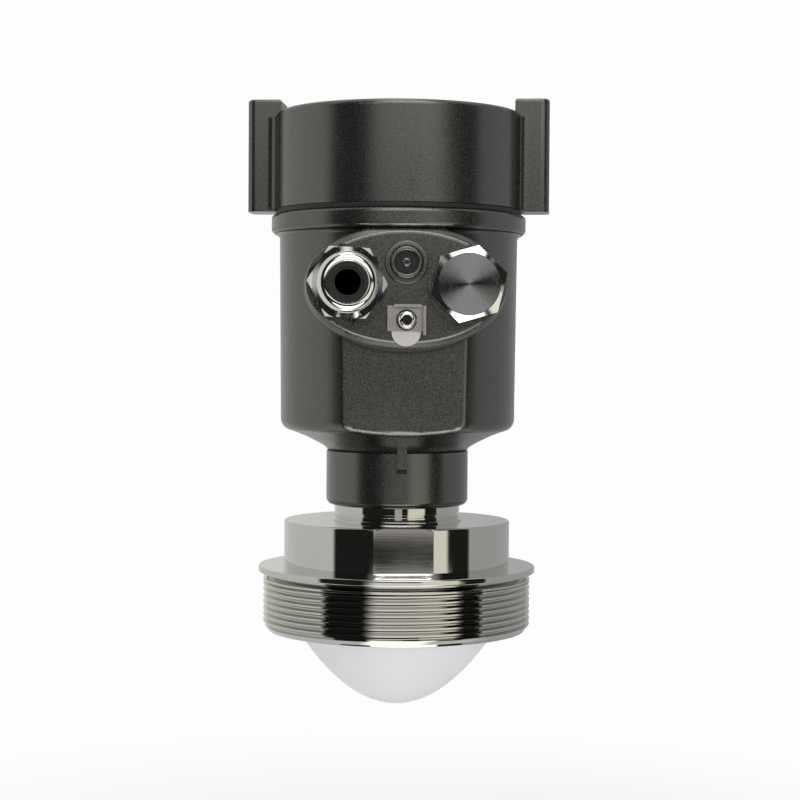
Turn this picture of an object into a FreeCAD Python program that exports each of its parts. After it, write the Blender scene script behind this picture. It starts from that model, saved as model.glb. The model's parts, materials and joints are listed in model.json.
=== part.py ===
"""Radar level gauge: threaded process fitting with a lens antenna, and a turning housing with a screw cap.

The origin is the centre of the sealing face under the fitting's rim, on the thread's axis.
+Z points up to the cap and -Y is the front, where the two cable ports are. All sizes are in millimetres.
"""
import FreeCAD, Part
import math
import os

V = FreeCAD.Vector
ORIGIN = V(0, 0, 0)
AXIS_X = V(1, 0, 0)
AXIS_Y = V(0, 1, 0)
AXIS_Z = V(0, 0, 1)

# Clearances
RUNNING_GAP = 0.06
SLIP_GAP = 0.1
FREE_GAP = 0.3

# Process thread and sealing rim
THREAD_R = 50.165
THREAD_PITCH = 2.309
THREAD_GROOVES = 8
THREAD_GROOVE_DEPTH = 1.45
THREAD_FLANK_DEG = 27.5
THREAD_ROOT_FLAT = 0.25
THREAD_FIRST_GROOVE = 4.2
THREAD_LENGTH = 21.9
THREAD_LEAD_HEIGHT = 2.5
THREAD_LEAD_DEPTH = 1.9
RELIEF_R = 48.2
RELIEF_HEIGHT = 1.0
RELIEF_RUNOUT = 1.3
RIM_R = 52.0
RIM_THICKNESS = 2.3
RIM_EDGE = 0.5
SEAT_RECESS = 0.3

# Wrench flange and shaft
FLANGE_R = 42.4
FLANGE_HEIGHT = 17.0
FLANGE_EDGE = 0.6
WRENCH_ACROSS = 82.0
WRENCH_FLAT_COUNT = 2
WRENCH_FOOT_RADIUS = 1.35
SHAFT_R = 23.5
SHAFT_HEIGHT = 5.9
SHAFT_FOOT_R = 24.4
SHAFT_FOOT_HEIGHT = 0.8
SHAFT_GROOVE_HEIGHT = 0.9
SHAFT_GROOVE_DEPTH = 0.7
SHAFT_GROOVE_ABOVE_FOOT = 1.5

# Swivel between the fitting's spigot and the housing's neck
SWIVEL_BORE_R = 20.0
SWIVEL_LEDGE_HEIGHT = 19.8
SPIGOT_TOP_ABOVE_LEDGE = 2.6
RETAINER_THICKNESS = 1.2
RETAINER_WIDTH = 3.7
RETAINER_GROOVE_DEPTH = 1.4
LOCK_GROOVE_ABOVE_SHOULDER = 14.2
LOCK_GROOVE_HEIGHT = 3.2
LOCK_GROOVE_DEPTH = 1.6
SWIVEL_SEAL_SECTION = 2.0
SWIVEL_SEALS_ABOVE_SHOULDER = (4.6, 9.0)

# Lens antenna
LENS_TIP_DROP = 28.2
LENS_FOCAL = 12.5
LENS_STEP_R = 33.0
LENS_RIM_R = 37.0
LENS_RIM_HEIGHT = 4.9
LENS_PLUG_HEIGHT = 9.0
LENS_SEAL_SECTION = 2.4
LENS_SEAL_ABOVE_STEP = 2.6

# Feed horn and radar board
HORN_FLANGE_THICKNESS = 3.0
HORN_MOUTH_R = 25.0
HORN_THROAT_R = 2.6
HORN_WALL = 2.0
HORN_HEIGHT = 20.0
HORN_TOP_PLATE_R = 25.0
HORN_TOP_PLATE_THICKNESS = 2.5
HORN_CHAMBER_R = 29.0
RADAR_BOARD_R = 24.0
BOARD_THICKNESS = 1.6
RADAR_CHAMBER_HEADROOM = 3.4
FEEDTHROUGH_R = 8.0
FEEDTHROUGH_HEIGHT = 6.0
FEEDTHROUGH_PIN_R = 0.6
FEEDTHROUGH_PIN_CIRCLE_R = 4.6
FEEDTHROUGH_PIN_LENGTH = 9.0
FEEDTHROUGH_PINS = 4

# Small screws
BOARD_SCREW_R = 1.25
BOARD_SCREW_HEAD_R = 2.4
BOARD_SCREW_HEAD_HEIGHT = 1.5
BOARD_SCREW_LENGTH = 2.2
BOARD_SCREWS = 3

# Housing casting, outside
NECK_R = 26.65
NECK_HEIGHT = 20.2
NECK_FOOT_RADIUS = 2.5
NECK_STEP = 0.7
TAPER_FOOT_R = 27.3
TAPER_FOOT_RISE = 1.6
TAPER_TOP_INSET = 3.45
TAPER_RISE = 6.1
TAPER_BULGE = 0.45
BODY_FOOT_R = 43.95
BODY_FOOT_RISE = 4.3
BODY_DRAFT = 0.65
BODY_HEIGHT = 68.9
BEAD_PROUD = 3.1
BEAD_HEIGHT = 7.2
BEAD_UNDER_RADIUS = 2.0
BEAD_TOP_RADIUS = 1.5

# Front flat and index rib of the casting
FRONT_FLAT_DEPTH = 5.75
FRONT_FLAT_EDGE = 2.5
INDEX_RIB_WIDTH = 3.5
INDEX_RIB_REACH = 29.5
INDEX_RIB_HEIGHT = 11.7
INDEX_RIB_FOOT = 13.0
INDEX_RIB_CHAMFER = 1.6

# Oval port pad, as drops and widths seen from the front
PAD_BELOW_BEAD = 28.1
PAD_HALF_WIDTH = 36.0
PAD_HALF_HEIGHT = 22.75
PAD_FACE_HALF_WIDTH = 34.6
PAD_FACE_HALF_HEIGHT = 19.9
PAD_PROUD = 3.45
PAD_SLOPE_DEPTH = 3.2
PAD_EDGE = 0.6
PORT_SPACING = 42.6
PORT_ABOVE_PAD = 0.8
PORT_COLLAR_R = 14.0
PORT_COLLAR_HEIGHT = 1.3
PORT_THREAD_R = 10.0

# Housing casting, inside
CHAMBER_R = 38.5
CHAMBER_FLOOR_ABOVE_LEDGE = 11.0
CHAMBER_FLOOR_R = 32.0
CHAMBER_FLOOR_RISE = 4.0
CHAMBER_NECK_R = 23.6
FRONT_WALL = 3.5
DISPLAY_LEDGE_BELOW_BEAD = 2.6
COLLAR_R = 43.0
COLLAR_BORE_R = 40.0
COLLAR_HEIGHT = 18.5
COLLAR_CHAMFER = 1.0
COLLAR_RELIEF = 0.9
COLLAR_RELIEF_HEIGHT = 2.4

# Screw cap and its seal
CAP_R = 46.2
CAP_HEIGHT = 36.2
CAP_TOP_THICKNESS = 4.0
CAP_TOP_RADIUS = 2.0
CAP_MOUTH_CHAMFER = 0.7
SEAL_R = 46.1
SEAL_WIDTH = 2.5
SEAL_HEIGHT = 2.1
SEAL_ROUNDING = 0.45
LUG_WIDTH = 16.0
LUG_REACH = 56.4
LUG_INNER_R = 43.6
LUG_CORNER_RADIUS = 3.2
LUG_ROOT_RADIUS = 4.0
LUG_ABOVE_CAP = 4.8
LUG_BELOW_CAP = 0.9
LUG_TOP_EDGE = 1.1
LUG_COUNT = 2
LUG_TURN_DEG = -8.0

# Electronics in the housing
INSERT_R = 33.0
INSERT_HEIGHT = 34.0
INSERT_EDGE = 1.5
MAIN_BOARD_R = 31.0
TERMINAL_LENGTH = 44.0
TERMINAL_DEPTH = 15.0
TERMINAL_HEIGHT = 12.0
TERMINAL_BACK = 12.0
TERMINAL_PITCH = 8.0
TERMINAL_SCREWS = 5
TERMINAL_SCREW_R = 2.3
TERMINAL_SCREW_DEPTH = 3.0
TERMINAL_SCREW_SUNK = 1.0
TERMINAL_SLOT_WIDTH = 0.8
TERMINAL_SLOT_DEPTH = 1.0
TERMINAL_SKIN = 1.0
TERMINAL_WIRE_SLOT = 4.6

# Display module under the cap
DISPLAY_HEIGHT = 25.0
DISPLAY_WALL = 2.2
DISPLAY_TOP = 2.5
DISPLAY_EDGE = 2.0
WINDOW_WIDTH = 46.0
WINDOW_DEPTH = 24.0
WINDOW_BACK = 6.0
GLASS_MARGIN = 2.0
GLASS_THICKNESS = 2.0
PANEL_THICKNESS = 2.5
DISPLAY_BOARD_R = 34.5
POST_R = 2.5
POST_CIRCLE_R = 30.5
BUTTON_R = 3.0
BUTTON_FLANGE_R = 3.9
BUTTON_FLANGE_HEIGHT = 1.3
BUTTON_RISE = 1.2
BUTTON_STEM_R = 1.5
BUTTON_TRAVEL = 0.5
BUTTON_PITCH = 14.0
BUTTON_FORWARD = 20.0
BUTTON_COUNT = 4

# Cable gland and blanking plug, along the port's axis from the collar's face
HEX_ACROSS = 24.2
PORT_SEAL_R = 12.3
PORT_SEAL_HEIGHT = 1.6
SPIGOT_LENGTH = 11.0
GLAND_BODY_HEX_HEIGHT = 5.0
GLAND_NUT_GAP = 0.6
GLAND_NECK_R = 9.2
GLAND_BODY_BORE_R = 6.4
NUT_HEX_HEIGHT = 6.6
NUT_SHOULDER_R = 12.7
NUT_SHOULDER_RISE = 1.2
NUT_DOME_HEIGHT = 5.2
NUT_DOME_R = 10.6
NUT_DOME_RADIUS = 3.1
NUT_RING_RISE = 1.5
NUT_LIP_R = 7.4
NUT_MOUTH_R = 7.1
CLAW_SIDES = 12
CLAW_BORE_R = 5.5
CLAW_LENGTH = 8.0
CLAW_BELOW_LIP = 1.0
SEAL_BORE_R = 4.55
SEAL_INSERT_LENGTH = 12.0
SEAL_INSERT_BELOW_LIP = 2.2
GLAND_CORNER_DEG = 57.0
GLAND_BODY_CORNER_DEG = 40.0
PLUG_HEX_HEIGHT = 6.6
PLUG_FACE_R = 10.95
PLUG_CHAMFER_HEIGHT = 1.2
PLUG_CORNER_DEG = 16.0
PLUG_DIMPLE_R = 0.9
PLUG_DIMPLE_DEPTH = 0.4

# Vent in the middle of the pad
VENT_ABOVE_PAD = 8.6
VENT_RING_R = 7.75
VENT_RING_HEIGHT = 0.9
VENT_BODY_R = 5.9
VENT_BODY_RISE = 1.3
VENT_BODY_DEPTH = 5.0
VENT_RECESS_R = 4.0
VENT_RECESS_DEPTH = 1.6
VENT_PASSAGE_R = 1.4
VENT_PIN_R = 1.65
VENT_PIN_RISE = 0.6

# Earth terminal below the vent
EARTH_BELOW_PAD = 11.7
EARTH_SCREW_R = 2.0
EARTH_SCREW_LENGTH = 9.0
EARTH_HEAD_R = 3.2
EARTH_HEAD_HEIGHT = 2.3
EARTH_HEAD_RADIUS = 1.4
EARTH_CROSS_LENGTH = 3.6
EARTH_CROSS_WIDTH = 0.8
EARTH_CROSS_DEPTH = 1.3
EARTH_WASHER_R = 3.65
EARTH_WASHER_THICKNESS = 0.9
EARTH_TAB_WIDTH = 10.4
EARTH_TAB_THICKNESS = 0.8
EARTH_TAB_TOP = 3.6
EARTH_TAB_END = 9.3
CLAMP_WIDTH = 13.5
CLAMP_HEIGHT = 9.0
CLAMP_ABOVE_SCREW = 5.0
CLAMP_THICKNESS = 1.0
CLAMP_LIP_WIDTH = 9.8
CLAMP_LIP_LENGTH = 3.2
CLAMP_LIP_OFFSET = 0.3
CLAMP_FLANGE_DROP = 1.4
CLAMP_FLANGE_LENGTH = 3.0

# Lock screw at the back of the neck
LOCK_SCREW_R = 2.4
LOCK_SCREW_SUNK = 0.5
LOCK_SOCKET_ACROSS = 2.5
LOCK_SOCKET_DEPTH = 2.0

# Levels that follow from the sizes above
FLANGE_TOP = RIM_THICKNESS + FLANGE_HEIGHT
SHOULDER = FLANGE_TOP + SHAFT_HEIGHT
LEDGE = SHOULDER + SWIVEL_LEDGE_HEIGHT
SPIGOT_R = SWIVEL_BORE_R - RUNNING_GAP
SPIGOT_TOP = LEDGE + SPIGOT_TOP_ABOVE_LEDGE
LOCK_LEVEL = SHOULDER + LOCK_GROOVE_ABOVE_SHOULDER + LOCK_GROOVE_HEIGHT / 2
NECK_TOP = SHOULDER + NECK_HEIGHT
TAPER_TOP_R = BODY_FOOT_R - TAPER_TOP_INSET
BODY_TOP_R = BODY_FOOT_R + BODY_DRAFT
BEAD_R = BODY_TOP_R + BEAD_PROUD
FRONT_FLAT_DISTANCE = BODY_FOOT_R - FRONT_FLAT_DEPTH
PAD_FACE = BODY_FOOT_R + PAD_PROUD
PAD_SHOULDER = PAD_FACE - PAD_SLOPE_DEPTH
TAPER_FOOT = NECK_TOP + TAPER_FOOT_RISE
TAPER_TOP = TAPER_FOOT + TAPER_RISE
BODY_FOOT = TAPER_TOP + BODY_FOOT_RISE
BODY_TOP = BODY_FOOT + BODY_HEIGHT
BEAD_TOP = BODY_TOP + BEAD_HEIGHT
PAD_LEVEL = BEAD_TOP - PAD_BELOW_BEAD
PORT_LEVEL = PAD_LEVEL + PORT_ABOVE_PAD
PORT_FACE = PAD_FACE + PORT_COLLAR_HEIGHT
CHAMBER_FLOOR = LEDGE + CHAMBER_FLOOR_ABOVE_LEDGE
DISPLAY_LEDGE = BEAD_TOP - DISPLAY_LEDGE_BELOW_BEAD
COLLAR_TOP = BEAD_TOP + COLLAR_HEIGHT
CAP_BOTTOM = BEAD_TOP + SEAL_HEIGHT
CAP_TOP = CAP_BOTTOM + CAP_HEIGHT
CAP_BORE_R = COLLAR_R + FREE_GAP
BOTTOM_FACE = -THREAD_LENGTH
LENS_STEP = BOTTOM_FACE + LENS_RIM_HEIGHT
LENS_BACK = LENS_STEP + LENS_PLUG_HEIGHT
LENS_TIP = BOTTOM_FACE - LENS_TIP_DROP
HORN_SEAT = LENS_BACK + HORN_FLANGE_THICKNESS
HORN_TOP = LENS_BACK + HORN_HEIGHT
RADAR_BOARD_TOP = HORN_TOP + BOARD_THICKNESS
RADAR_CHAMBER_TOP = RADAR_BOARD_TOP + RADAR_CHAMBER_HEADROOM
INSERT_TOP = CHAMBER_FLOOR + INSERT_HEIGHT
MAIN_BOARD_TOP = INSERT_TOP + BOARD_THICKNESS
DISPLAY_FACE = DISPLAY_LEDGE + DISPLAY_HEIGHT
DISPLAY_UNDER = DISPLAY_FACE - DISPLAY_TOP
GLASS_UNDER = DISPLAY_UNDER - GLASS_THICKNESS
DISPLAY_BOARD_TOP = GLASS_UNDER - PANEL_THICKNESS
NUT_FOOT = PORT_SEAL_HEIGHT + GLAND_BODY_HEX_HEIGHT + GLAND_NUT_GAP
NUT_SHOULDER = NUT_FOOT + NUT_HEX_HEIGHT + NUT_SHOULDER_RISE
NUT_FRONT = NUT_SHOULDER + NUT_DOME_HEIGHT


def corner_arc(before, corner, after, radius):
    """Start, middle and end of the arc that rounds a corner between two straight lines."""
    one = (before - corner).normalize()
    two = (after - corner).normalize()
    half = one.getAngle(two) / 2
    start = corner + one * (radius / math.tan(half))
    end = corner + two * (radius / math.tan(half))
    middle = corner + (one + two).normalize() * (radius / math.sin(half) - radius)
    return start, middle, end


def outline(corners, flat=False):
    """Closed wire through (across, up) corners, each rounded where it gives a third value, the radius."""
    points = [V(c[0], c[1], 0) if flat else V(c[0], 0, c[1]) for c in corners]
    edges = []
    pieces = []
    for index, point in enumerate(points):
        if len(corners[index]) > 2:
            after = points[(index + 1) % len(points)]
            pieces.append(corner_arc(points[index - 1], point, after, corners[index][2]))
        else:
            pieces.append((point,))
    for index, piece in enumerate(pieces):
        if len(piece) == 3:
            edges.append(Part.Arc(*piece).toShape())
        following = pieces[(index + 1) % len(pieces)][0]
        if piece[-1].distanceToPoint(following) > 1e-6:
            edges.append(Part.makeLine(piece[-1], following))
    return Part.Wire(edges)


def turned(corners):
    """Solid of revolution about Z from (radius, height) corners."""
    return Part.Face(outline(corners)).revolve(ORIGIN, AXIS_Z, 360)


def ring(inner, outer, bottom, top):
    """Plain ring about Z."""
    return turned([(inner, bottom), (outer, bottom), (outer, top), (inner, top)])


def disc(radius, bottom, top, centre=(0, 0)):
    """Upright cylinder."""
    return Part.makeCylinder(radius, top - bottom, V(centre[0], centre[1], bottom), AXIS_Z)


def hexagon(across, bottom, top, corner_deg=0.0):
    """Upright hexagonal prism with one corner at the given angle."""
    radius = across / math.sqrt(3)
    corners = []
    for side in range(6):
        angle = math.radians(corner_deg + 60 * side)
        corners.append((radius * math.cos(angle), radius * math.sin(angle)))
    prism = Part.Face(outline(corners, flat=True)).extrude(V(0, 0, top - bottom))
    return prism.translate(V(0, 0, bottom))


def box(width, depth, bottom, top, centre=(0, 0)):
    """Upright block centred on a point of the XY plane."""
    corner = V(centre[0] - width / 2, centre[1] - depth / 2, bottom)
    return Part.makeBox(width, depth, top - bottom, corner)


def around(shape, count, start_deg=0.0):
    """Copies of a shape spaced evenly about Z."""
    copies = []
    for index in range(count):
        copy = shape.copy()
        copy.rotate(ORIGIN, AXIS_Z, start_deg + 360.0 * index / count)
        copies.append(copy)
    return copies


def to_front(shape, x, level, reach):
    """Carry a shape built along +Z to the front, so that its own zero lies at a reach from the axis."""
    moved = shape.copy()
    moved.rotate(ORIGIN, AXIS_X, 90)
    moved.translate(V(x, -reach, level))
    return moved


def board_screw_circle(board_r):
    """Radius at which screw heads lie well inside a round board's edge."""
    return board_r - 2 * BOARD_SCREW_HEAD_R


def board_screws(circle_r, seat, start_deg=90.0, upward=True):
    """Set of small pan-head screws that hold a board, with their heads on the given side."""
    way = 1 if upward else -1
    head = Part.makeCylinder(BOARD_SCREW_HEAD_R, BOARD_SCREW_HEAD_HEIGHT, V(circle_r, 0, seat), V(0, 0, way))
    shank_length = BOARD_THICKNESS + BOARD_SCREW_LENGTH
    shank = Part.makeCylinder(BOARD_SCREW_R, shank_length, V(circle_r, 0, seat), V(0, 0, -way))
    return Part.makeCompound(around(head.fuse(shank).removeSplitter(), BOARD_SCREWS, start_deg))


def screw_holes(circle_r, seat, start_deg=90.0, upward=True):
    """Holes that take the screws made by board_screws."""
    way = 1 if upward else -1
    length = BOARD_THICKNESS + BOARD_SCREW_LENGTH + SLIP_GAP
    hole = Part.makeCylinder(BOARD_SCREW_R + SLIP_GAP, length, V(circle_r, 0, seat), V(0, 0, -way))
    return around(hole, BOARD_SCREWS, start_deg)


# Process fitting and antenna


def thread_corners():
    """Corners of the thread's outline from its first groove down to its lead-in."""
    half_root = THREAD_ROOT_FLAT / 2
    half_mouth = half_root + THREAD_GROOVE_DEPTH * math.tan(math.radians(THREAD_FLANK_DEG))
    root = THREAD_R - THREAD_GROOVE_DEPTH
    lead_start = BOTTOM_FACE + THREAD_LEAD_HEIGHT
    lead_slope = THREAD_LEAD_DEPTH / THREAD_LEAD_HEIGHT
    flank_slope = math.tan(math.radians(THREAD_FLANK_DEG))
    corners = []
    for index in range(THREAD_GROOVES):
        middle = -THREAD_FIRST_GROOVE - index * THREAD_PITCH
        crest = THREAD_R
        lower = middle - half_mouth
        if lower < lead_start:
            depth_to_crest = (lead_start - lower) * lead_slope / (1 - flank_slope * lead_slope)
            crest = THREAD_R - depth_to_crest
            lower = lower + depth_to_crest * flank_slope
        corners.append((THREAD_R, middle + half_mouth))
        corners.append((root, middle + half_root))
        corners.append((root, middle - half_root))
        corners.append((crest, lower))
        if lower > lead_start > lower - THREAD_PITCH + 2 * half_mouth:
            corners.append((THREAD_R, lead_start))
    corners.append((THREAD_R - THREAD_LEAD_DEPTH, BOTTOM_FACE))
    return corners


def spigot_corners():
    """Corners of the spigot and shaft from the top of the spigot down to the flange."""
    retainer_top = LEDGE + FREE_GAP + RETAINER_THICKNESS
    retainer_bottom = LEDGE + FREE_GAP
    bands = [(retainer_bottom, retainer_top, RETAINER_GROOVE_DEPTH)]
    lock_bottom = SHOULDER + LOCK_GROOVE_ABOVE_SHOULDER
    bands.append((lock_bottom, lock_bottom + LOCK_GROOVE_HEIGHT, LOCK_GROOVE_DEPTH))
    for rise in reversed(SWIVEL_SEALS_ABOVE_SHOULDER):
        bands.append((SHOULDER + rise, SHOULDER + rise + SWIVEL_SEAL_SECTION, SWIVEL_SEAL_SECTION))
    corners = [(SPIGOT_R, SPIGOT_TOP)]
    for bottom, top, depth in bands:
        corners.append((SPIGOT_R, top))
        corners.append((SPIGOT_R - depth, top))
        corners.append((SPIGOT_R - depth, bottom))
        corners.append((SPIGOT_R, bottom))
    groove_bottom = FLANGE_TOP + SHAFT_FOOT_HEIGHT + SHAFT_GROOVE_ABOVE_FOOT
    groove_top = groove_bottom + SHAFT_GROOVE_HEIGHT
    corners.append((SPIGOT_R, SHOULDER))
    corners.append((SHAFT_R, SHOULDER))
    corners.append((SHAFT_R, groove_top))
    corners.append((SHAFT_R - SHAFT_GROOVE_DEPTH, groove_top))
    corners.append((SHAFT_R - SHAFT_GROOVE_DEPTH, groove_bottom))
    corners.append((SHAFT_R, groove_bottom))
    corners.append((SHAFT_R, FLANGE_TOP + SHAFT_FOOT_HEIGHT))
    corners.append((SHAFT_FOOT_R, FLANGE_TOP + SHAFT_FOOT_HEIGHT))
    corners.append((SHAFT_FOOT_R, FLANGE_TOP))
    return corners


def rim_corners():
    """Corners of the flange, the sealing rim and the relief above the thread.

    The rim is recessed inside the sealing face, so that the thread stays clear of the gasket.
    """
    seat_inner = THREAD_R + FREE_GAP
    return [
        (FLANGE_R - FLANGE_EDGE, FLANGE_TOP),
        (FLANGE_R, FLANGE_TOP - FLANGE_EDGE),
        (FLANGE_R, RIM_THICKNESS),
        (RIM_R - RIM_EDGE, RIM_THICKNESS),
        (RIM_R, RIM_THICKNESS - RIM_EDGE),
        (RIM_R, RIM_EDGE),
        (RIM_R - RIM_EDGE, 0),
        (seat_inner, 0),
        (seat_inner, SEAT_RECESS),
        (RELIEF_R, SEAT_RECESS),
        (RELIEF_R, -RELIEF_HEIGHT),
        (THREAD_R, -RELIEF_HEIGHT - RELIEF_RUNOUT),
    ]


def fitting_bore_corners():
    """Corners of the fitting's stepped bore from its mouth up through the spigot."""
    step_r = LENS_STEP_R + SLIP_GAP
    return [
        (LENS_RIM_R + SLIP_GAP, BOTTOM_FACE),
        (LENS_RIM_R + SLIP_GAP, LENS_STEP),
        (step_r, LENS_STEP),
        (step_r, HORN_SEAT),
        (HORN_CHAMBER_R, HORN_SEAT),
        (HORN_CHAMBER_R, RADAR_CHAMBER_TOP),
        (FEEDTHROUGH_R + SLIP_GAP, RADAR_CHAMBER_TOP),
        (FEEDTHROUGH_R + SLIP_GAP, SPIGOT_TOP),
    ]


def wrench_cut():
    """Tool that mills one flat, with the cutter's radius left at its foot."""
    far = RIM_R
    corners = [
        (WRENCH_ACROSS / 2, RIM_THICKNESS, WRENCH_FOOT_RADIUS),
        (far, RIM_THICKNESS),
        (far, FLANGE_TOP + FLANGE_EDGE),
        (WRENCH_ACROSS / 2, FLANGE_TOP + FLANGE_EDGE),
    ]
    width = 2 * FLANGE_R
    tool = Part.Face(outline(corners)).extrude(V(0, width, 0))
    tool.translate(V(0, -width / 2, 0))
    return tool


def process_fitting():
    corners = spigot_corners() + rim_corners() + thread_corners() + fitting_bore_corners()
    return turned(corners).cut(around(wrench_cut(), WRENCH_FLAT_COUNT, 90.0))


def antenna_lens():
    """Lens with a parabolic front, from a plug that seats in the fitting's mouth."""
    rim_level = LENS_TIP + LENS_RIM_R ** 2 / (4 * LENS_FOCAL)
    curve = Part.BezierCurve()
    curve.setPoles([V(0, 0, LENS_TIP), V(LENS_RIM_R / 2, 0, LENS_TIP), V(LENS_RIM_R, 0, rim_level)])
    front = curve.toShape()
    plug_r = LENS_STEP_R
    seal_bottom = LENS_STEP + LENS_SEAL_ABOVE_STEP
    groove_r = plug_r - LENS_SEAL_SECTION
    corners = [
        (LENS_RIM_R, rim_level),
        (LENS_RIM_R, LENS_STEP),
        (plug_r, LENS_STEP),
        (plug_r, seal_bottom),
        (groove_r, seal_bottom),
        (groove_r, seal_bottom + LENS_SEAL_SECTION),
        (plug_r, seal_bottom + LENS_SEAL_SECTION),
        (plug_r, LENS_BACK),
        (0, LENS_BACK),
        (0, LENS_TIP),
    ]
    points = [V(r, 0, z) for r, z in corners]
    edges = [front] + [Part.makeLine(a, b) for a, b in zip(points, points[1:])]
    return Part.Face(Part.Wire(Part.sortEdges(edges)[0])).revolve(ORIGIN, AXIS_Z, 360)


def lens_seal_ring():
    bottom = LENS_STEP + LENS_SEAL_ABOVE_STEP
    return ring(LENS_STEP_R - LENS_SEAL_SECTION, LENS_STEP_R, bottom, bottom + LENS_SEAL_SECTION)


def feed_horn():
    """Flared horn between the lens and the radar board."""
    plate_bottom = HORN_TOP - HORN_TOP_PLATE_THICKNESS
    horn = turned([
        (HORN_MOUTH_R, LENS_BACK),
        (LENS_STEP_R, LENS_BACK),
        (LENS_STEP_R, HORN_SEAT),
        (HORN_MOUTH_R + HORN_WALL, HORN_SEAT),
        (HORN_THROAT_R + 2 * HORN_WALL, plate_bottom),
        (HORN_TOP_PLATE_R, plate_bottom),
        (HORN_TOP_PLATE_R, HORN_TOP),
        (HORN_THROAT_R, HORN_TOP),
        (HORN_THROAT_R, plate_bottom),
    ])
    return horn.cut(screw_holes(board_screw_circle(RADAR_BOARD_R), RADAR_BOARD_TOP))


def radar_board():
    board = disc(RADAR_BOARD_R, HORN_TOP, RADAR_BOARD_TOP)
    return board.cut(screw_holes(board_screw_circle(RADAR_BOARD_R), RADAR_BOARD_TOP))


def radar_board_screws():
    return board_screws(board_screw_circle(RADAR_BOARD_R), RADAR_BOARD_TOP)


def cable_feedthrough():
    """Sealed plug in the spigot with its connecting pins."""
    bottom = SPIGOT_TOP - FEEDTHROUGH_HEIGHT
    plug = disc(FEEDTHROUGH_R, bottom, SPIGOT_TOP)
    start = bottom - (FEEDTHROUGH_PIN_LENGTH - FEEDTHROUGH_HEIGHT) / 2
    centre = (FEEDTHROUGH_PIN_CIRCLE_R, 0)
    pin = disc(FEEDTHROUGH_PIN_R, start, start + FEEDTHROUGH_PIN_LENGTH, centre)
    return plug.fuse(around(pin, FEEDTHROUGH_PINS, 45.0)).removeSplitter()


def swivel_seals():
    seals = []
    for rise in SWIVEL_SEALS_ABOVE_SHOULDER:
        bottom = SHOULDER + rise
        seals.append(ring(SPIGOT_R - SWIVEL_SEAL_SECTION, SPIGOT_R, bottom, bottom + SWIVEL_SEAL_SECTION))
    return Part.makeCompound(seals)


def swivel_retaining_ring():
    """Split ring that keeps the housing on the spigot."""
    inner = SPIGOT_R - RETAINER_GROOVE_DEPTH
    bottom = LEDGE + FREE_GAP
    band = ring(inner, inner + RETAINER_WIDTH, bottom, bottom + RETAINER_THICKNESS)
    middle = (0, inner + RETAINER_WIDTH / 2)
    gap = box(RETAINER_WIDTH, 2 * RETAINER_WIDTH, bottom, bottom + RETAINER_THICKNESS, middle)
    return band.cut(gap)


# Housing casting


def taper_arc():
    """Slightly bulged underside of the body, from the neck out to the body's lower corner."""
    start = V(TAPER_FOOT_R, 0, TAPER_FOOT)
    end = V(TAPER_TOP_R, 0, TAPER_TOP)
    across = end - start
    normal = V(-across.z, 0, across.x).normalize()
    return Part.Arc(start, (start + end) / 2 + normal * TAPER_BULGE, end).toShape()


def body_corner_arc():
    """Round lower corner of the body, tangent to its side."""
    radius = BODY_FOOT_RISE
    centre = V(BODY_FOOT_R - radius, 0, BODY_FOOT)
    start = V(TAPER_TOP_R, 0, TAPER_TOP)
    turn = math.atan2(start.z - centre.z, start.x - centre.x) / 2
    middle = centre + V(math.cos(turn), 0, math.sin(turn)) * radius
    return Part.Arc(start, middle, V(BODY_FOOT_R, 0, BODY_FOOT)).toShape()


def casting_blank():
    """Outside of the casting turned as one piece, solid down to its axis."""
    foot = corner_arc(V(0, 0, SHOULDER), V(NECK_R, 0, SHOULDER), V(NECK_R, 0, NECK_TOP), NECK_FOOT_RADIUS)
    step = NECK_R - NECK_STEP
    under = corner_arc(
        V(BODY_TOP_R, 0, BODY_FOOT),
        V(BODY_TOP_R, 0, BODY_TOP),
        V(BEAD_R, 0, BODY_TOP),
        BEAD_UNDER_RADIUS,
    )
    bead = corner_arc(
        V(BODY_TOP_R, 0, BODY_TOP),
        V(BEAD_R, 0, BODY_TOP),
        V(BEAD_R, 0, BEAD_TOP),
        BEAD_UNDER_RADIUS,
    )
    edge = corner_arc(
        V(BEAD_R, 0, BODY_TOP),
        V(BEAD_R, 0, BEAD_TOP),
        V(COLLAR_R, 0, BEAD_TOP),
        BEAD_TOP_RADIUS,
    )
    relief_top = BEAD_TOP + COLLAR_RELIEF_HEIGHT
    lines = [
        [V(0, 0, SHOULDER), foot[0]],
        [foot[2], V(NECK_R, 0, NECK_TOP), V(step, 0, NECK_TOP), V(TAPER_FOOT_R, 0, TAPER_FOOT)],
        [V(BODY_FOOT_R, 0, BODY_FOOT), under[0]],
        [under[2], bead[0]],
        [bead[2], edge[0]],
        [
            edge[2],
            V(COLLAR_R - COLLAR_RELIEF, 0, BEAD_TOP),
            V(COLLAR_R - COLLAR_RELIEF, 0, relief_top),
            V(COLLAR_R, 0, relief_top + COLLAR_RELIEF),
            V(COLLAR_R, 0, COLLAR_TOP - COLLAR_CHAMFER),
            V(COLLAR_R - COLLAR_CHAMFER, 0, COLLAR_TOP),
            V(0, 0, COLLAR_TOP),
            V(0, 0, SHOULDER),
        ],
    ]
    edges = [Part.Arc(*foot).toShape(), taper_arc(), body_corner_arc()]
    edges += [Part.Arc(*arc).toShape() for arc in (under, bead, edge)]
    for line in lines:
        edges += [Part.makeLine(a, b) for a, b in zip(line, line[1:]) if a.distanceToPoint(b) > 1e-6]
    wire = Part.Wire(Part.sortEdges(edges)[0])
    return Part.Face(wire).revolve(ORIGIN, AXIS_Z, 360)


def ellipse_wire(half_width, half_height, reach):
    """Upright ellipse facing the front, at a reach from the axis."""
    curve = Part.Ellipse(ORIGIN, half_width, half_height)
    wire = Part.Wire(curve.toShape())
    return to_front(wire, 0, PAD_LEVEL, reach)


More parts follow.
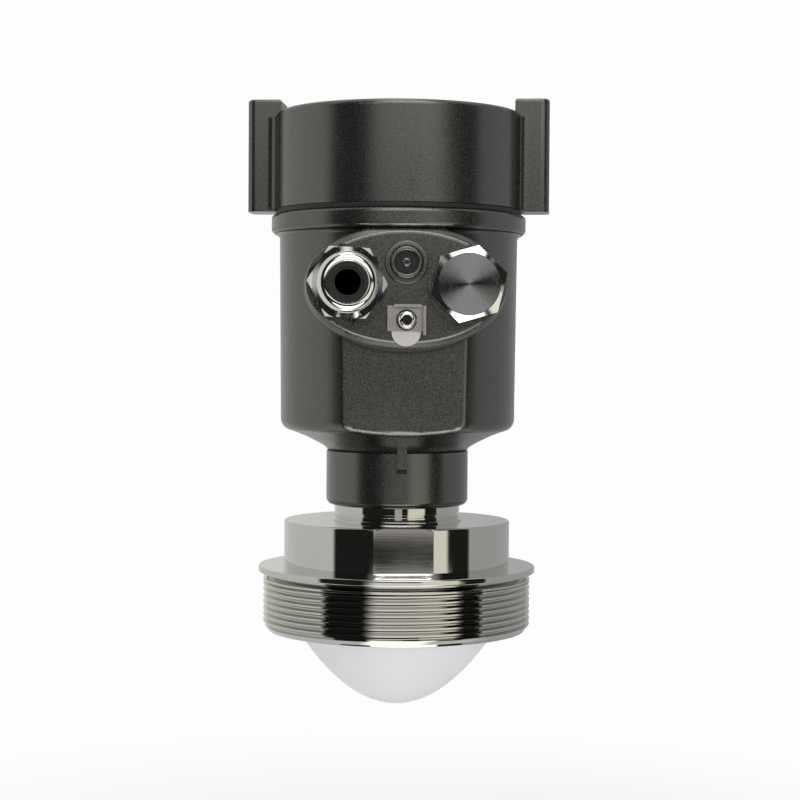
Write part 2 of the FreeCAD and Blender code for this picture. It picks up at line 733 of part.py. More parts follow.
def port_pad():
    """Oval pad that carries both ports, with a sloping shoulder and broken edges round its face."""
    edge = PAD_EDGE / 2
    sections = [
        ellipse_wire(PAD_HALF_WIDTH, PAD_HALF_HEIGHT, PAD_SHOULDER - PAD_EDGE),
        ellipse_wire(PAD_HALF_WIDTH - edge, PAD_HALF_HEIGHT - edge, PAD_SHOULDER + edge),
        ellipse_wire(PAD_FACE_HALF_WIDTH + edge, PAD_FACE_HALF_HEIGHT + edge, PAD_FACE - PAD_EDGE),
        ellipse_wire(PAD_FACE_HALF_WIDTH - edge, PAD_FACE_HALF_HEIGHT - edge, PAD_FACE),
    ]
    root = ellipse_wire(PAD_HALF_WIDTH, PAD_HALF_HEIGHT, 0)
    prism = Part.Face(root).extrude(V(0, PAD_EDGE - PAD_SHOULDER, 0))
    return prism.fuse(Part.makeLoft(sections, True, True))


def port_centres():
    return (-PORT_SPACING / 2, PORT_SPACING / 2)


def index_rib():
    """Rib on the neck's front that marks where the housing points."""
    foot = SHOULDER + INDEX_RIB_FOOT
    corners = [
        (SWIVEL_BORE_R + NECK_STEP, foot),
        (INDEX_RIB_REACH - INDEX_RIB_CHAMFER, foot),
        (INDEX_RIB_REACH, foot + INDEX_RIB_CHAMFER),
        (INDEX_RIB_REACH, foot + INDEX_RIB_HEIGHT),
        (SWIVEL_BORE_R + NECK_STEP, foot + INDEX_RIB_HEIGHT),
    ]
    rib = Part.Face(outline(corners)).extrude(V(0, INDEX_RIB_WIDTH, 0))
    rib.translate(V(0, -INDEX_RIB_WIDTH / 2, 0))
    rib.rotate(ORIGIN, AXIS_Z, -90)
    return rib


def front_flat_cut():
    """Block that takes the front flat off the body below the pad."""
    depth = BEAD_R - FRONT_FLAT_DISTANCE
    centre = (0, -FRONT_FLAT_DISTANCE - depth / 2)
    return box(2 * BEAD_R, depth, NECK_TOP, PAD_LEVEL, centre)


def chamber():
    """Inside of the casting, with a flat behind the front flat."""
    space = turned([
        (0, SHOULDER),
        (SWIVEL_BORE_R, SHOULDER),
        (SWIVEL_BORE_R, LEDGE),
        (CHAMBER_NECK_R, LEDGE),
        (CHAMBER_NECK_R, CHAMBER_FLOOR),
        (CHAMBER_FLOOR_R, CHAMBER_FLOOR),
        (CHAMBER_R, CHAMBER_FLOOR + CHAMBER_FLOOR_RISE),
        (CHAMBER_R, DISPLAY_LEDGE),
        (COLLAR_BORE_R, DISPLAY_LEDGE),
        (COLLAR_BORE_R, COLLAR_TOP),
        (0, COLLAR_TOP),
    ])
    inner = FRONT_FLAT_DISTANCE - FRONT_WALL
    depth = BEAD_R - inner
    return space.cut(box(2 * BEAD_R, depth, NECK_TOP, PAD_LEVEL, (0, -inner - depth / 2)))


def casting_holes():
    """Port threads, vent bore, earth screw hole and lock screw hole."""
    holes = []
    for x in port_centres():
        bore = disc(PORT_THREAD_R + SLIP_GAP, -PORT_FACE, 0)
        holes.append(to_front(bore, x, PORT_LEVEL, PORT_FACE))
    vent = disc(VENT_BODY_R + SLIP_GAP, -VENT_BODY_DEPTH, VENT_RING_HEIGHT)
    vent = vent.fuse(disc(VENT_PASSAGE_R, -PAD_FACE, 0))
    holes.append(to_front(vent, 0, PAD_LEVEL + VENT_ABOVE_PAD, PAD_FACE))
    earth = disc(EARTH_SCREW_R + SLIP_GAP, -EARTH_SCREW_LENGTH, 0)
    holes.append(to_front(earth, 0, PAD_LEVEL - EARTH_BELOW_PAD, PAD_FACE))
    lock = Part.makeCylinder(LOCK_SCREW_R + SLIP_GAP, NECK_R, V(0, 0, LOCK_LEVEL), AXIS_Y)
    holes.append(lock)
    return holes


def housing_casting():
    """Cast housing: neck, tapered body, bead, threaded collar, oval port pad, front flat and index rib."""
    body = casting_blank().cut(front_flat_cut())
    body = body.makeFillet(FRONT_FLAT_EDGE, [e for e in body.Edges if rounds_front_flat(e)])
    added = [port_pad(), index_rib()]
    for x in port_centres():
        collar = disc(PORT_COLLAR_R, -PORT_COLLAR_R, PORT_COLLAR_HEIGHT)
        added.append(to_front(collar, x, PORT_LEVEL, PAD_FACE))
    rim = ring(VENT_BODY_R, VENT_RING_R, -VENT_RING_HEIGHT, VENT_RING_HEIGHT)
    added.append(to_front(rim, 0, PAD_LEVEL + VENT_ABOVE_PAD, PAD_FACE))
    return body.fuse(added).removeSplitter().cut([chamber()] + casting_holes())


def rounds_front_flat(edge):
    """True where the whole edge lies in the plane of the front flat, below the pad."""
    extent = edge.BoundBox
    in_plane = max(abs(extent.YMin + FRONT_FLAT_DISTANCE), abs(extent.YMax + FRONT_FLAT_DISTANCE)) < 0.01
    return in_plane and extent.ZMax < PAD_LEVEL - FRONT_FLAT_EDGE


def neck_lock_screw():
    """Socket set screw whose dog point stays in the spigot's groove."""
    tip = SPIGOT_R - LOCK_GROOVE_DEPTH + FREE_GAP
    length = NECK_R - LOCK_SCREW_SUNK - tip
    dog_r = LOCK_GROOVE_HEIGHT / 2 - FREE_GAP
    dog_length = SWIVEL_BORE_R + FREE_GAP - tip
    socket = hexagon(LOCK_SOCKET_ACROSS, length - LOCK_SOCKET_DEPTH, length)
    screw = turned([
        (0, 0),
        (dog_r, 0),
        (dog_r, dog_length),
        (LOCK_SCREW_R, dog_length),
        (LOCK_SCREW_R, length),
        (0, length),
    ]).cut(socket)
    screw.rotate(ORIGIN, AXIS_X, -90)
    screw.translate(V(0, tip, LOCK_LEVEL))
    return screw


# Electronics


def electronics_insert():
    """Potted electronics pot that stands on the chamber's floor."""
    return turned([
        (0, CHAMBER_FLOOR),
        (INSERT_R - CHAMBER_FLOOR_RISE, CHAMBER_FLOOR),
        (INSERT_R, CHAMBER_FLOOR + CHAMBER_FLOOR_RISE),
        (INSERT_R, INSERT_TOP - INSERT_EDGE),
        (INSERT_R - INSERT_EDGE, INSERT_TOP),
        (0, INSERT_TOP),
    ]).cut(screw_holes(board_screw_circle(MAIN_BOARD_R), MAIN_BOARD_TOP))


def main_board():
    board = disc(MAIN_BOARD_R, INSERT_TOP, MAIN_BOARD_TOP)
    return board.cut(screw_holes(board_screw_circle(MAIN_BOARD_R), MAIN_BOARD_TOP))


def main_board_screws():
    return board_screws(board_screw_circle(MAIN_BOARD_R), MAIN_BOARD_TOP)


def terminal_places():
    first = -(TERMINAL_SCREWS - 1) * TERMINAL_PITCH / 2
    return [first + index * TERMINAL_PITCH for index in range(TERMINAL_SCREWS)]


def terminal_block():
    """Terminal strip with a wire entry and a screw well for each way."""
    top = MAIN_BOARD_TOP + TERMINAL_HEIGHT
    front = TERMINAL_BACK - TERMINAL_DEPTH / 2
    block = box(TERMINAL_LENGTH, TERMINAL_DEPTH, MAIN_BOARD_TOP, top, (0, TERMINAL_BACK))
    cuts = []
    for x in terminal_places():
        cuts.append(disc(TERMINAL_SCREW_R + SLIP_GAP, top - TERMINAL_SCREW_DEPTH, top, (x, TERMINAL_BACK)))
        entry_top = top - TERMINAL_SCREW_DEPTH - TERMINAL_SKIN
        entry_bottom = entry_top - TERMINAL_WIRE_SLOT
        cuts.append(box(TERMINAL_WIRE_SLOT, TERMINAL_DEPTH, entry_bottom, entry_top, (x, front)))
    return block.cut(cuts)


def terminal_screws():
    foot = MAIN_BOARD_TOP + TERMINAL_HEIGHT - TERMINAL_SCREW_DEPTH
    top = foot + TERMINAL_SCREW_DEPTH - TERMINAL_SCREW_SUNK
    screws = []
    for x in terminal_places():
        centre = (x, TERMINAL_BACK)
        slot = box(2 * TERMINAL_SCREW_R, TERMINAL_SLOT_WIDTH, top - TERMINAL_SLOT_DEPTH, top, centre)
        screws.append(disc(TERMINAL_SCREW_R, foot, top, centre).cut(slot))
    return Part.makeCompound(screws)


# Display module


def button_places():
    first = -(BUTTON_COUNT - 1) * BUTTON_PITCH / 2
    return [(first + index * BUTTON_PITCH, -BUTTON_FORWARD) for index in range(BUTTON_COUNT)]


def display_carrier():
    """Cup that stands on the casting's ledge and holds the display under its window."""
    outer = COLLAR_BORE_R - SLIP_GAP
    inner = outer - DISPLAY_WALL
    cup = turned([
        (inner, DISPLAY_LEDGE),
        (outer, DISPLAY_LEDGE),
        (outer, DISPLAY_FACE, DISPLAY_EDGE),
        (0, DISPLAY_FACE),
        (0, DISPLAY_UNDER),
        (inner, DISPLAY_UNDER),
    ])
    post = disc(POST_R, DISPLAY_BOARD_TOP, DISPLAY_UNDER, (POST_CIRCLE_R, 0))
    cuts = [box(WINDOW_WIDTH, WINDOW_DEPTH, DISPLAY_UNDER, DISPLAY_FACE, (0, WINDOW_BACK))]
    for place in button_places():
        cuts.append(disc(BUTTON_R + FREE_GAP, DISPLAY_UNDER, DISPLAY_FACE, place))
    cuts += screw_holes(POST_CIRCLE_R, display_board_bottom(), 90.0, False)
    return cup.fuse(around(post, BOARD_SCREWS, 90.0)).cut(cuts)


def display_board_bottom():
    return DISPLAY_BOARD_TOP - BOARD_THICKNESS


def display_board():
    board = disc(DISPLAY_BOARD_R, display_board_bottom(), DISPLAY_BOARD_TOP)
    return board.cut(screw_holes(POST_CIRCLE_R, display_board_bottom(), 90.0, False))


def display_screws():
    return board_screws(POST_CIRCLE_R, display_board_bottom(), 90.0, False)


def display_panel():
    width = WINDOW_WIDTH + GLASS_MARGIN
    return box(width, WINDOW_DEPTH + GLASS_MARGIN, DISPLAY_BOARD_TOP, GLASS_UNDER, (0, WINDOW_BACK))


def display_glass():
    width = WINDOW_WIDTH + 2 * GLASS_MARGIN
    return box(width, WINDOW_DEPTH + 2 * GLASS_MARGIN, GLASS_UNDER, DISPLAY_UNDER, (0, WINDOW_BACK))


def display_button(place):
    """Push button with a flange under the cover and a stem above its switch."""
    flange_top = DISPLAY_UNDER - FREE_GAP
    flange_bottom = flange_top - BUTTON_FLANGE_HEIGHT
    stem_bottom = DISPLAY_BOARD_TOP + BUTTON_TRAVEL + SLIP_GAP
    button = turned([
        (0, stem_bottom),
        (BUTTON_STEM_R, stem_bottom),
        (BUTTON_STEM_R, flange_bottom),
        (BUTTON_FLANGE_R, flange_bottom),
        (BUTTON_FLANGE_R, flange_top),
        (BUTTON_R, flange_top),
        (BUTTON_R, DISPLAY_FACE + BUTTON_RISE, FREE_GAP),
        (0, DISPLAY_FACE + BUTTON_RISE),
    ])
    return button.translate(V(place[0], place[1], 0))


# Screw cap


def cap_seal_ring():
    """Seal squeezed between the bead and the cap's lower edge."""
    inner = SEAL_R - SEAL_WIDTH
    return turned([
        (inner, BEAD_TOP),
        (SEAL_R, BEAD_TOP, SEAL_ROUNDING),
        (SEAL_R, CAP_BOTTOM, SEAL_ROUNDING),
        (inner, CAP_BOTTOM),
    ])


def lug_root():
    """Plan of a lug with hollow curves that run into the cap's side."""
    half = LUG_WIDTH / 2
    curve_up = half + LUG_ROOT_RADIUS
    curve_r = math.sqrt((CAP_R + LUG_ROOT_RADIUS) ** 2 - curve_up ** 2)
    meet = V(curve_r, curve_up, 0) * (CAP_R / (CAP_R + LUG_ROOT_RADIUS))
    centre = V(curve_r, curve_up, 0)
    middle = centre + ((meet - centre).normalize() + V(0, -1, 0)).normalize() * LUG_ROOT_RADIUS
    wall = V(curve_r, half, 0)
    mirrored = [V(p.x, -p.y, 0) for p in (meet, middle, wall)]
    inner = math.sqrt(CAP_BORE_R ** 2 - meet.y ** 2) + (CAP_R - CAP_BORE_R) / 2
    back = [V(inner, -meet.y, 0), V(inner, meet.y, 0)]
    edges = [
        Part.Arc(meet, middle, wall).toShape(),
        Part.makeLine(wall, mirrored[2]),
        Part.Arc(mirrored[2], mirrored[1], mirrored[0]).toShape(),
        Part.makeLine(mirrored[0], back[0]),
        Part.makeLine(back[0], back[1]),
        Part.makeLine(back[1], meet),
    ]
    bottom = CAP_BOTTOM
    top = CAP_TOP - CAP_TOP_RADIUS
    return Part.Face(Part.Wire(edges)).extrude(V(0, 0, top - bottom)).translate(V(0, 0, bottom))


def lug():
    """One lug of the cap, taller than the cap and reaching just below its edge."""
    half = LUG_WIDTH / 2
    corners = [
        (LUG_INNER_R, -half),
        (LUG_REACH, -half, LUG_CORNER_RADIUS),
        (LUG_REACH, half, LUG_CORNER_RADIUS),
        (LUG_INNER_R, half),
    ]
    bottom = CAP_BOTTOM - LUG_BELOW_CAP
    top = CAP_TOP + LUG_ABOVE_CAP
    block = Part.Face(outline(corners, flat=True)).extrude(V(0, 0, top - bottom)).translate(V(0, 0, bottom))
    block = block.makeFillet(LUG_TOP_EDGE, [e for e in block.Edges if e.BoundBox.ZMin > top - 0.01])
    under = disc(SEAL_R + SLIP_GAP, bottom, CAP_BOTTOM)
    return block.cut(under).fuse(lug_root())


def screw_cap():
    """Blind screw cap with two lugs for a bar."""
    ceiling = CAP_TOP - CAP_TOP_THICKNESS
    cap = turned([
        (CAP_BORE_R + CAP_MOUTH_CHAMFER, CAP_BOTTOM),
        (CAP_R, CAP_BOTTOM),
        (CAP_R, CAP_TOP, CAP_TOP_RADIUS),
        (0, CAP_TOP),
        (0, ceiling),
        (CAP_BORE_R, ceiling, CAP_TOP_RADIUS),
        (CAP_BORE_R, CAP_BOTTOM + CAP_MOUTH_CHAMFER),
    ])
    return cap.fuse(around(lug(), LUG_COUNT, LUG_TURN_DEG)).removeSplitter()


# Ports


def port_seal():
    return ring(PORT_THREAD_R, PORT_SEAL_R, 0, PORT_SEAL_HEIGHT)


def gland_body():
    """Screwed-in half of the gland with its hexagon and hollow neck."""
    hex_top = PORT_SEAL_HEIGHT + GLAND_BODY_HEX_HEIGHT
    body = hexagon(HEX_ACROSS, PORT_SEAL_HEIGHT, hex_top, GLAND_BODY_CORNER_DEG)
    body = body.fuse(disc(PORT_THREAD_R, -SPIGOT_LENGTH, PORT_SEAL_HEIGHT))
    body = body.fuse(disc(GLAND_NECK_R, hex_top, claw_front() - CLAW_LENGTH))
    bore = disc(GLAND_BODY_BORE_R, -SPIGOT_LENGTH, claw_front() - CLAW_LENGTH)
    return body.removeSplitter().cut(bore)


def gland_dome_nut():
    """Clamping nut: a chamfered hexagon that runs into a dome."""
    corner_r = HEX_ACROSS / math.sqrt(3)
    hex_top = NUT_FOOT + NUT_HEX_HEIGHT
    form = turned([
        (GLAND_NECK_R + SLIP_GAP, NUT_FOOT),
        (corner_r - NUT_SHOULDER_RISE / 2, NUT_FOOT),
        (corner_r, NUT_FOOT + NUT_SHOULDER_RISE / 2),
        (corner_r, hex_top),
        (NUT_SHOULDER_R, NUT_SHOULDER),
        (NUT_DOME_R, NUT_SHOULDER + NUT_RING_RISE),
        (NUT_DOME_R, NUT_FRONT, NUT_DOME_RADIUS),
        (NUT_LIP_R, NUT_FRONT),
        (NUT_MOUTH_R, NUT_FRONT - (NUT_LIP_R - NUT_MOUTH_R)),
        (NUT_MOUTH_R, claw_front() - CLAW_LENGTH),
        (GLAND_NECK_R + SLIP_GAP, claw_front() - CLAW_LENGTH),
    ])
    return form.common(hexagon(HEX_ACROSS, NUT_FOOT, NUT_FRONT, GLAND_CORNER_DEG))


def claw_front():
    return NUT_FRONT - CLAW_BELOW_LIP


def gland_claw():
    """Clamping insert with a many-sided mouth."""
    front = claw_front()
    body = disc(NUT_MOUTH_R, front - CLAW_LENGTH, front)
    corners = []
    for side in range(CLAW_SIDES):
        angle = 2 * math.pi * side / CLAW_SIDES
        corners.append((CLAW_BORE_R * math.cos(angle), CLAW_BORE_R * math.sin(angle)))
    bore = Part.Face(outline(corners, flat=True)).extrude(V(0, 0, CLAW_LENGTH))
    return body.cut(bore.translate(V(0, 0, front - CLAW_LENGTH)))


def gland_seal_insert():
    """Rubber sleeve that closes on the cable."""
    front = NUT_FRONT - SEAL_INSERT_BELOW_LIP
    outer = CLAW_BORE_R * math.cos(math.pi / CLAW_SIDES)
    back = front - SEAL_INSERT_LENGTH
    return ring(SEAL_BORE_R, outer, back, front)


def blanking_plug():
    """Hexagon plug that closes the second port."""
    corner_r = HEX_ACROSS / math.sqrt(3)
    face = PORT_SEAL_HEIGHT + PLUG_HEX_HEIGHT
    form = turned([
        (0, PORT_SEAL_HEIGHT),
        (corner_r, PORT_SEAL_HEIGHT),
        (corner_r, face - PLUG_CHAMFER_HEIGHT),
        (PLUG_FACE_R, face),
        (PLUG_DIMPLE_R, face),
        (0, face - PLUG_DIMPLE_DEPTH),
    ])
    head = form.common(hexagon(HEX_ACROSS, PORT_SEAL_HEIGHT, face, PLUG_CORNER_DEG))
    return head.fuse(disc(PORT_THREAD_R, -SPIGOT_LENGTH, PORT_SEAL_HEIGHT)).removeSplitter()


# Vent and earth terminal


def vent_body():
    return turned([
        (VENT_PASSAGE_R, -VENT_BODY_DEPTH),
        (VENT_BODY_R, -VENT_BODY_DEPTH),
        (VENT_BODY_R, VENT_BODY_RISE, FREE_GAP),
        (VENT_RECESS_R, VENT_BODY_RISE, FREE_GAP),
        (VENT_RECESS_R, VENT_BODY_RISE - VENT_RECESS_DEPTH),
        (VENT_PASSAGE_R, VENT_BODY_RISE - VENT_RECESS_DEPTH),
    ])


def vent_pin():
    """Cover of the vent's passage."""
    floor = VENT_BODY_RISE - VENT_RECESS_DEPTH
    return turned([
        (0, floor),
        (VENT_PIN_R, floor),
        (VENT_PIN_R, VENT_PIN_RISE, FREE_GAP),
        (0, VENT_PIN_RISE),
    ])


def earth_tab():
    """Round-ended tongue on the pad, under the clamp."""
    half = EARTH_TAB_WIDTH / 2
    round_centre = half - EARTH_TAB_END
    length = EARTH_TAB_TOP - round_centre
    plate = box(EARTH_TAB_WIDTH, length, 0, EARTH_TAB_THICKNESS, (0, round_centre + length / 2))
    tab = plate.fuse(disc(half, 0, EARTH_TAB_THICKNESS, (0, round_centre))).removeSplitter()
    return tab.cut(disc(EARTH_SCREW_R + SLIP_GAP, 0, EARTH_TAB_THICKNESS))


def earth_clamp():
    """Bent saddle with a lip along its top and a flange down one side."""
    bottom = EARTH_TAB_THICKNESS
    top = bottom + CLAMP_THICKNESS
    middle = CLAMP_ABOVE_SCREW - CLAMP_HEIGHT / 2
    plate = box(CLAMP_WIDTH, CLAMP_HEIGHT, bottom, top, (0, middle))
    lip_centre = (CLAMP_LIP_OFFSET, CLAMP_ABOVE_SCREW)
    lip = box(CLAMP_LIP_WIDTH, CLAMP_THICKNESS, bottom, bottom + CLAMP_LIP_LENGTH, lip_centre)
    side = box(
        CLAMP_THICKNESS,
        CLAMP_HEIGHT + CLAMP_FLANGE_DROP,
        bottom,
        bottom + CLAMP_FLANGE_LENGTH,
        ((CLAMP_WIDTH - CLAMP_THICKNESS) / 2, middle - CLAMP_FLANGE_DROP / 2),
    )
    clamp = plate.fuse([lip, side]).removeSplitter()
    return clamp.cut(disc(EARTH_SCREW_R + SLIP_GAP, bottom, top))


def washer_seat():
    return EARTH_TAB_THICKNESS + CLAMP_THICKNESS


def earth_spring_washer():
    seat = washer_seat()
    washer = ring(EARTH_SCREW_R + SLIP_GAP, EARTH_WASHER_R, seat, seat + EARTH_WASHER_THICKNESS)
    split = box(EARTH_WASHER_R, EARTH_CROSS_WIDTH, seat, seat + EARTH_WASHER_THICKNESS, (EARTH_WASHER_R, 0))
    return washer.cut(split)


def earth_screw():
    """Pan-head screw with a cross recess."""
    seat = washer_seat() + EARTH_WASHER_THICKNESS
    top = seat + EARTH_HEAD_HEIGHT
    screw = turned([
        (0, washer_seat() - EARTH_SCREW_LENGTH),
        (EARTH_SCREW_R, washer_seat() - EARTH_SCREW_LENGTH),
        (EARTH_SCREW_R, seat),
        (EARTH_HEAD_R, seat),
        (EARTH_HEAD_R, top, EARTH_HEAD_RADIUS),
        (0, top),
    ])
    bars = [box(EARTH_CROSS_LENGTH, EARTH_CROSS_WIDTH, top - EARTH_CROSS_DEPTH, top)]
    bars.append(box(EARTH_CROSS_WIDTH, EARTH_CROSS_LENGTH, top - EARTH_CROSS_DEPTH, top))
    return screw.cut(bars)


def main():
    os.makedirs("parts", exist_ok=True)
    left, right = port_centres()
    vent_level = PAD_LEVEL + VENT_ABOVE_PAD
    earth_level = PAD_LEVEL - EARTH_BELOW_PAD
    nodes = {
        "process_fitting": process_fitting(),
        "antenna_lens": antenna_lens(),
        "lens_seal_ring": lens_seal_ring(),
        "feed_horn": feed_horn(),
        "radar_board": radar_board(),
        "radar_board_screws": radar_board_screws(),
        "cable_feedthrough": cable_feedthrough(),
        "swivel_seals": swivel_seals(),
        "swivel_retaining_ring": swivel_retaining_ring(),
        "housing_casting": housing_casting(),
        "neck_lock_screw": neck_lock_screw(),
        "electronics_insert": electronics_insert(),
        "main_board": main_board(),
        "main_board_screws": main_board_screws(),
        "terminal_block": terminal_block(),
        "terminal_screws": terminal_screws(),
        "display_carrier": display_carrier(),
        "display_board": display_board(),
        "display_panel": display_panel(),
        "display_glass": display_glass(),
        "display_screws": display_screws(),
        "cap_seal_ring": cap_seal_ring(),
        "screw_cap": screw_cap(),
        "gland_o_ring": to_front(port_seal(), left, PORT_LEVEL, PORT_FACE),
        "gland_body": to_front(gland_body(), left, PORT_LEVEL, PORT_FACE),
        "gland_dome_nut": to_front(gland_dome_nut(), left, PORT_LEVEL, PORT_FACE),
        "gland_claw": to_front(gland_claw(), left, PORT_LEVEL, PORT_FACE),
        "gland_seal_insert": to_front(gland_seal_insert(), left, PORT_LEVEL, PORT_FACE),
        "plug_o_ring": to_front(port_seal(), right, PORT_LEVEL, PORT_FACE),
        "blanking_plug": to_front(blanking_plug(), right, PORT_LEVEL, PORT_FACE),
        "vent_body": to_front(vent_body(), 0, vent_level, PAD_FACE),
        "vent_pin": to_front(vent_pin(), 0, vent_level, PAD_FACE),
        "earth_tab": to_front(earth_tab(), 0, earth_level, PAD_FACE),
        "earth_clamp": to_front(earth_clamp(), 0, earth_level, PAD_FACE),
        "earth_spring_washer": to_front(earth_spring_washer(), 0, earth_level, PAD_FACE),
        "earth_screw": to_front(earth_screw(), 0, earth_level, PAD_FACE),
    }
    for number, place in enumerate(button_places(), 1):
        nodes["display_button_%d" % number] = display_button(place)
    for name, shape in nodes.items():
        shape.exportStep("parts/%s.step" % name)
        print(name, shape.isValid(), len(shape.Solids), round(shape.Volume, 1))


main()
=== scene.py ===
"""Dresses the radar level gauge: skins, helical threads, turned faces, finishes, studio and camera.

Sizes are in metres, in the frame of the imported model: the origin is the centre of the sealing
face, +Z points up to the cap and -Y is the front with the two cable ports.
"""

import json
import logging
import math
from dataclasses import dataclass, field
from enum import Enum
from functools import partial
from typing import Any, Callable, Sequence

import bmesh
import bpy
from mathutils import Matrix, Vector

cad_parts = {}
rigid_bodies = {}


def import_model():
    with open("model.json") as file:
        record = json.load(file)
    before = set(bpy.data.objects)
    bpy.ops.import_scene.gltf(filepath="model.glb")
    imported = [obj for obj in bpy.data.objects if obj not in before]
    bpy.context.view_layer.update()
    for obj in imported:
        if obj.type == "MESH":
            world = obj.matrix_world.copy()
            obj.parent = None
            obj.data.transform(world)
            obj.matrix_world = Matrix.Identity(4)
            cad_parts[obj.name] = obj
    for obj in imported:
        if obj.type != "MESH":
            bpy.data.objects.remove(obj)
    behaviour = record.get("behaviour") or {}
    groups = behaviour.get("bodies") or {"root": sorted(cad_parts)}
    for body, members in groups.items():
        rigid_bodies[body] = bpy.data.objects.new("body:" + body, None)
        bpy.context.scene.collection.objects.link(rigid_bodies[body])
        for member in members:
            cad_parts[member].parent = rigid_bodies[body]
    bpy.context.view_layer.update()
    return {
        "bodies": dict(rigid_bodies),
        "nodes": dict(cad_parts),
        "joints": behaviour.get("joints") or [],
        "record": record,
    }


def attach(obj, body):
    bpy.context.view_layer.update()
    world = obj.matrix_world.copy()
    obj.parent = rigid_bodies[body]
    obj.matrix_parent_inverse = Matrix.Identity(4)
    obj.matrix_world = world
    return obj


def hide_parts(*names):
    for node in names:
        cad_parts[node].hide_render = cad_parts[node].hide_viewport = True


LOG = logging.getLogger("gauge")
MM = 0.001
WHITE = (1.0, 1.0, 1.0)
WELD = 2e-7
CASTING_SHARP_DEG = 28.0
Colour = tuple[float, float, float]
Outline = list[tuple[float, float]]
Corners = tuple[tuple[float, ...], ...]
Settings = dict[str, Any]
Inputs = dict[Any, Any]
Rim = tuple[Callable[[Vector], bool], float]
Reach = Callable[[float, float, float], float]


class Body(Enum):
    """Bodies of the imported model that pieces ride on."""

    FITTING = "fitting"
    HOUSING = "housing"
    CAP_SEAL = "cap_seal"
    CAP = "cap"


# Node maths


def arithmetic(operation: str, turned: bool = False) -> Callable[["Signal", Any], "Signal"]:
    """Makes the method for one arithmetic operator of values in a node tree.

    Args:
        operation: Name of the Math node's operation.
        turned: Puts the other operand first.

    Returns:
        The method.
    """
    def method(signal: "Signal", other: Any) -> "Signal":
        """Adds the Math node."""
        return signal.apply(operation, other, turned=turned)

    return method


class Signal:
    """One value in a node tree that ordinary arithmetic works on."""

    def __init__(self, graph: "Graph", socket: bpy.types.NodeSocket) -> None:
        """Keeps the tree and the output socket."""
        self.graph = graph
        self.socket = socket

    def apply(self, operation: str, *others: Any, turned: bool = False) -> "Signal":
        """Adds one Math node on this value and the others, which come first if turned."""
        operands = (*others, self) if turned else (self, *others)
        settings = {"operation": operation}
        return self.graph.signal("ShaderNodeMath", dict(enumerate(operands)), settings)

    __add__ = __radd__ = arithmetic("ADD")
    __mul__ = __rmul__ = arithmetic("MULTIPLY")
    __sub__, __rsub__ = arithmetic("SUBTRACT"), arithmetic("SUBTRACT", turned=True)
    __truediv__ = arithmetic("DIVIDE")
    least, most = arithmetic("MINIMUM"), arithmetic("MAXIMUM")

    def __abs__(self) -> "Signal":
        """Value without its sign."""
        return self.apply("ABSOLUTE")

    def step(self, low: float, high: float) -> "Signal":
        """Soft step."""
        inputs = {"Value": self, "From Min": low, "From Max": high}
        return self.graph.signal("ShaderNodeMapRange", inputs, {"interpolation_type": "SMOOTHSTEP"})

    def band(self, low: float, high: float, soft: float) -> "Signal":
        """Soft band."""
        return self.step(low - soft, low + soft) * (1 - self.step(high - soft, high + soft))


class Graph:
    """Adds nodes to one tree."""

    def __init__(self, tree: bpy.types.NodeTree) -> None:
        """Keeps the tree."""
        self.tree = tree

    @classmethod
    def fresh(cls, owner: Any) -> "Graph":
        """Empties the node tree of a material or a world and wraps it."""
        owner.use_nodes = True
        owner.node_tree.nodes.clear()
        return cls(owner.node_tree)

    def node(self, kind: str, inputs: Inputs | None = None,
             settings: Settings | None = None) -> bpy.types.Node:
        """Adds any node.

        Args:
            kind: Type name of the node.
            inputs: Values, sockets or signals by input name or number.
            settings: Attributes, set first.

        Returns:
            The node.
        """
        made = self.tree.nodes.new(kind)
        for name, value in (settings or {}).items():
            setattr(made, name, value)
        for key, value in (inputs or {}).items():
            socket = made.inputs[key]
            if isinstance(value, Signal):
                value = value.socket
            if isinstance(value, bpy.types.NodeSocket):
                self.tree.links.new(value, socket)
            elif socket.type == "RGBA" and len(value) == 3:
                socket.default_value = (*value, 1.0)
            else:
                socket.default_value = value
        return made

    def signal(self, kind: str, inputs: Inputs | None = None,
               settings: Settings | None = None) -> Signal:
        """First output of a new node, which takes the arguments of node."""
        return Signal(self, self.node(kind, inputs, settings).outputs[0])

    def link(self, shader: bpy.types.Node, name: str, value: Any) -> None:
        """Links a signal or socket to the named input of a shader."""
        socket = value.socket if isinstance(value, Signal) else value
        self.tree.links.new(socket, shader.inputs[name])

    def mix(self, share: Any, first: Any, second: Any) -> bpy.types.NodeSocket:
        """Mixes two colours."""
        inputs = {0: share, 6: first, 7: second}
        return self.node("ShaderNodeMix", inputs, {"data_type": "RGBA"}).outputs[2]

    def place(self, scale: Sequence[float] = (1, 1, 1)) -> bpy.types.NodeSocket:
        """Object coordinates, stretched along each axis."""
        raw = self.node("ShaderNodeTexCoord").outputs["Object"]
        return self.node("ShaderNodeMapping", {"Vector": raw, "Scale": scale}).outputs[0]

    def noise(self, at: Any, scale: float, detail: float = 2.0) -> Signal:
        """Cloudy noise between 0 and 1."""
        return self.signal("ShaderNodeTexNoise", {"Vector": at, "Scale": scale, "Detail": detail})

    def parts(self, vector: Any) -> tuple[Signal, Signal, Signal]:
        """The three parts of a vector."""
        split = self.node("ShaderNodeSeparateXYZ", {0: vector})
        return tuple(Signal(self, split.outputs[k]) for k in range(3))


# Finishes


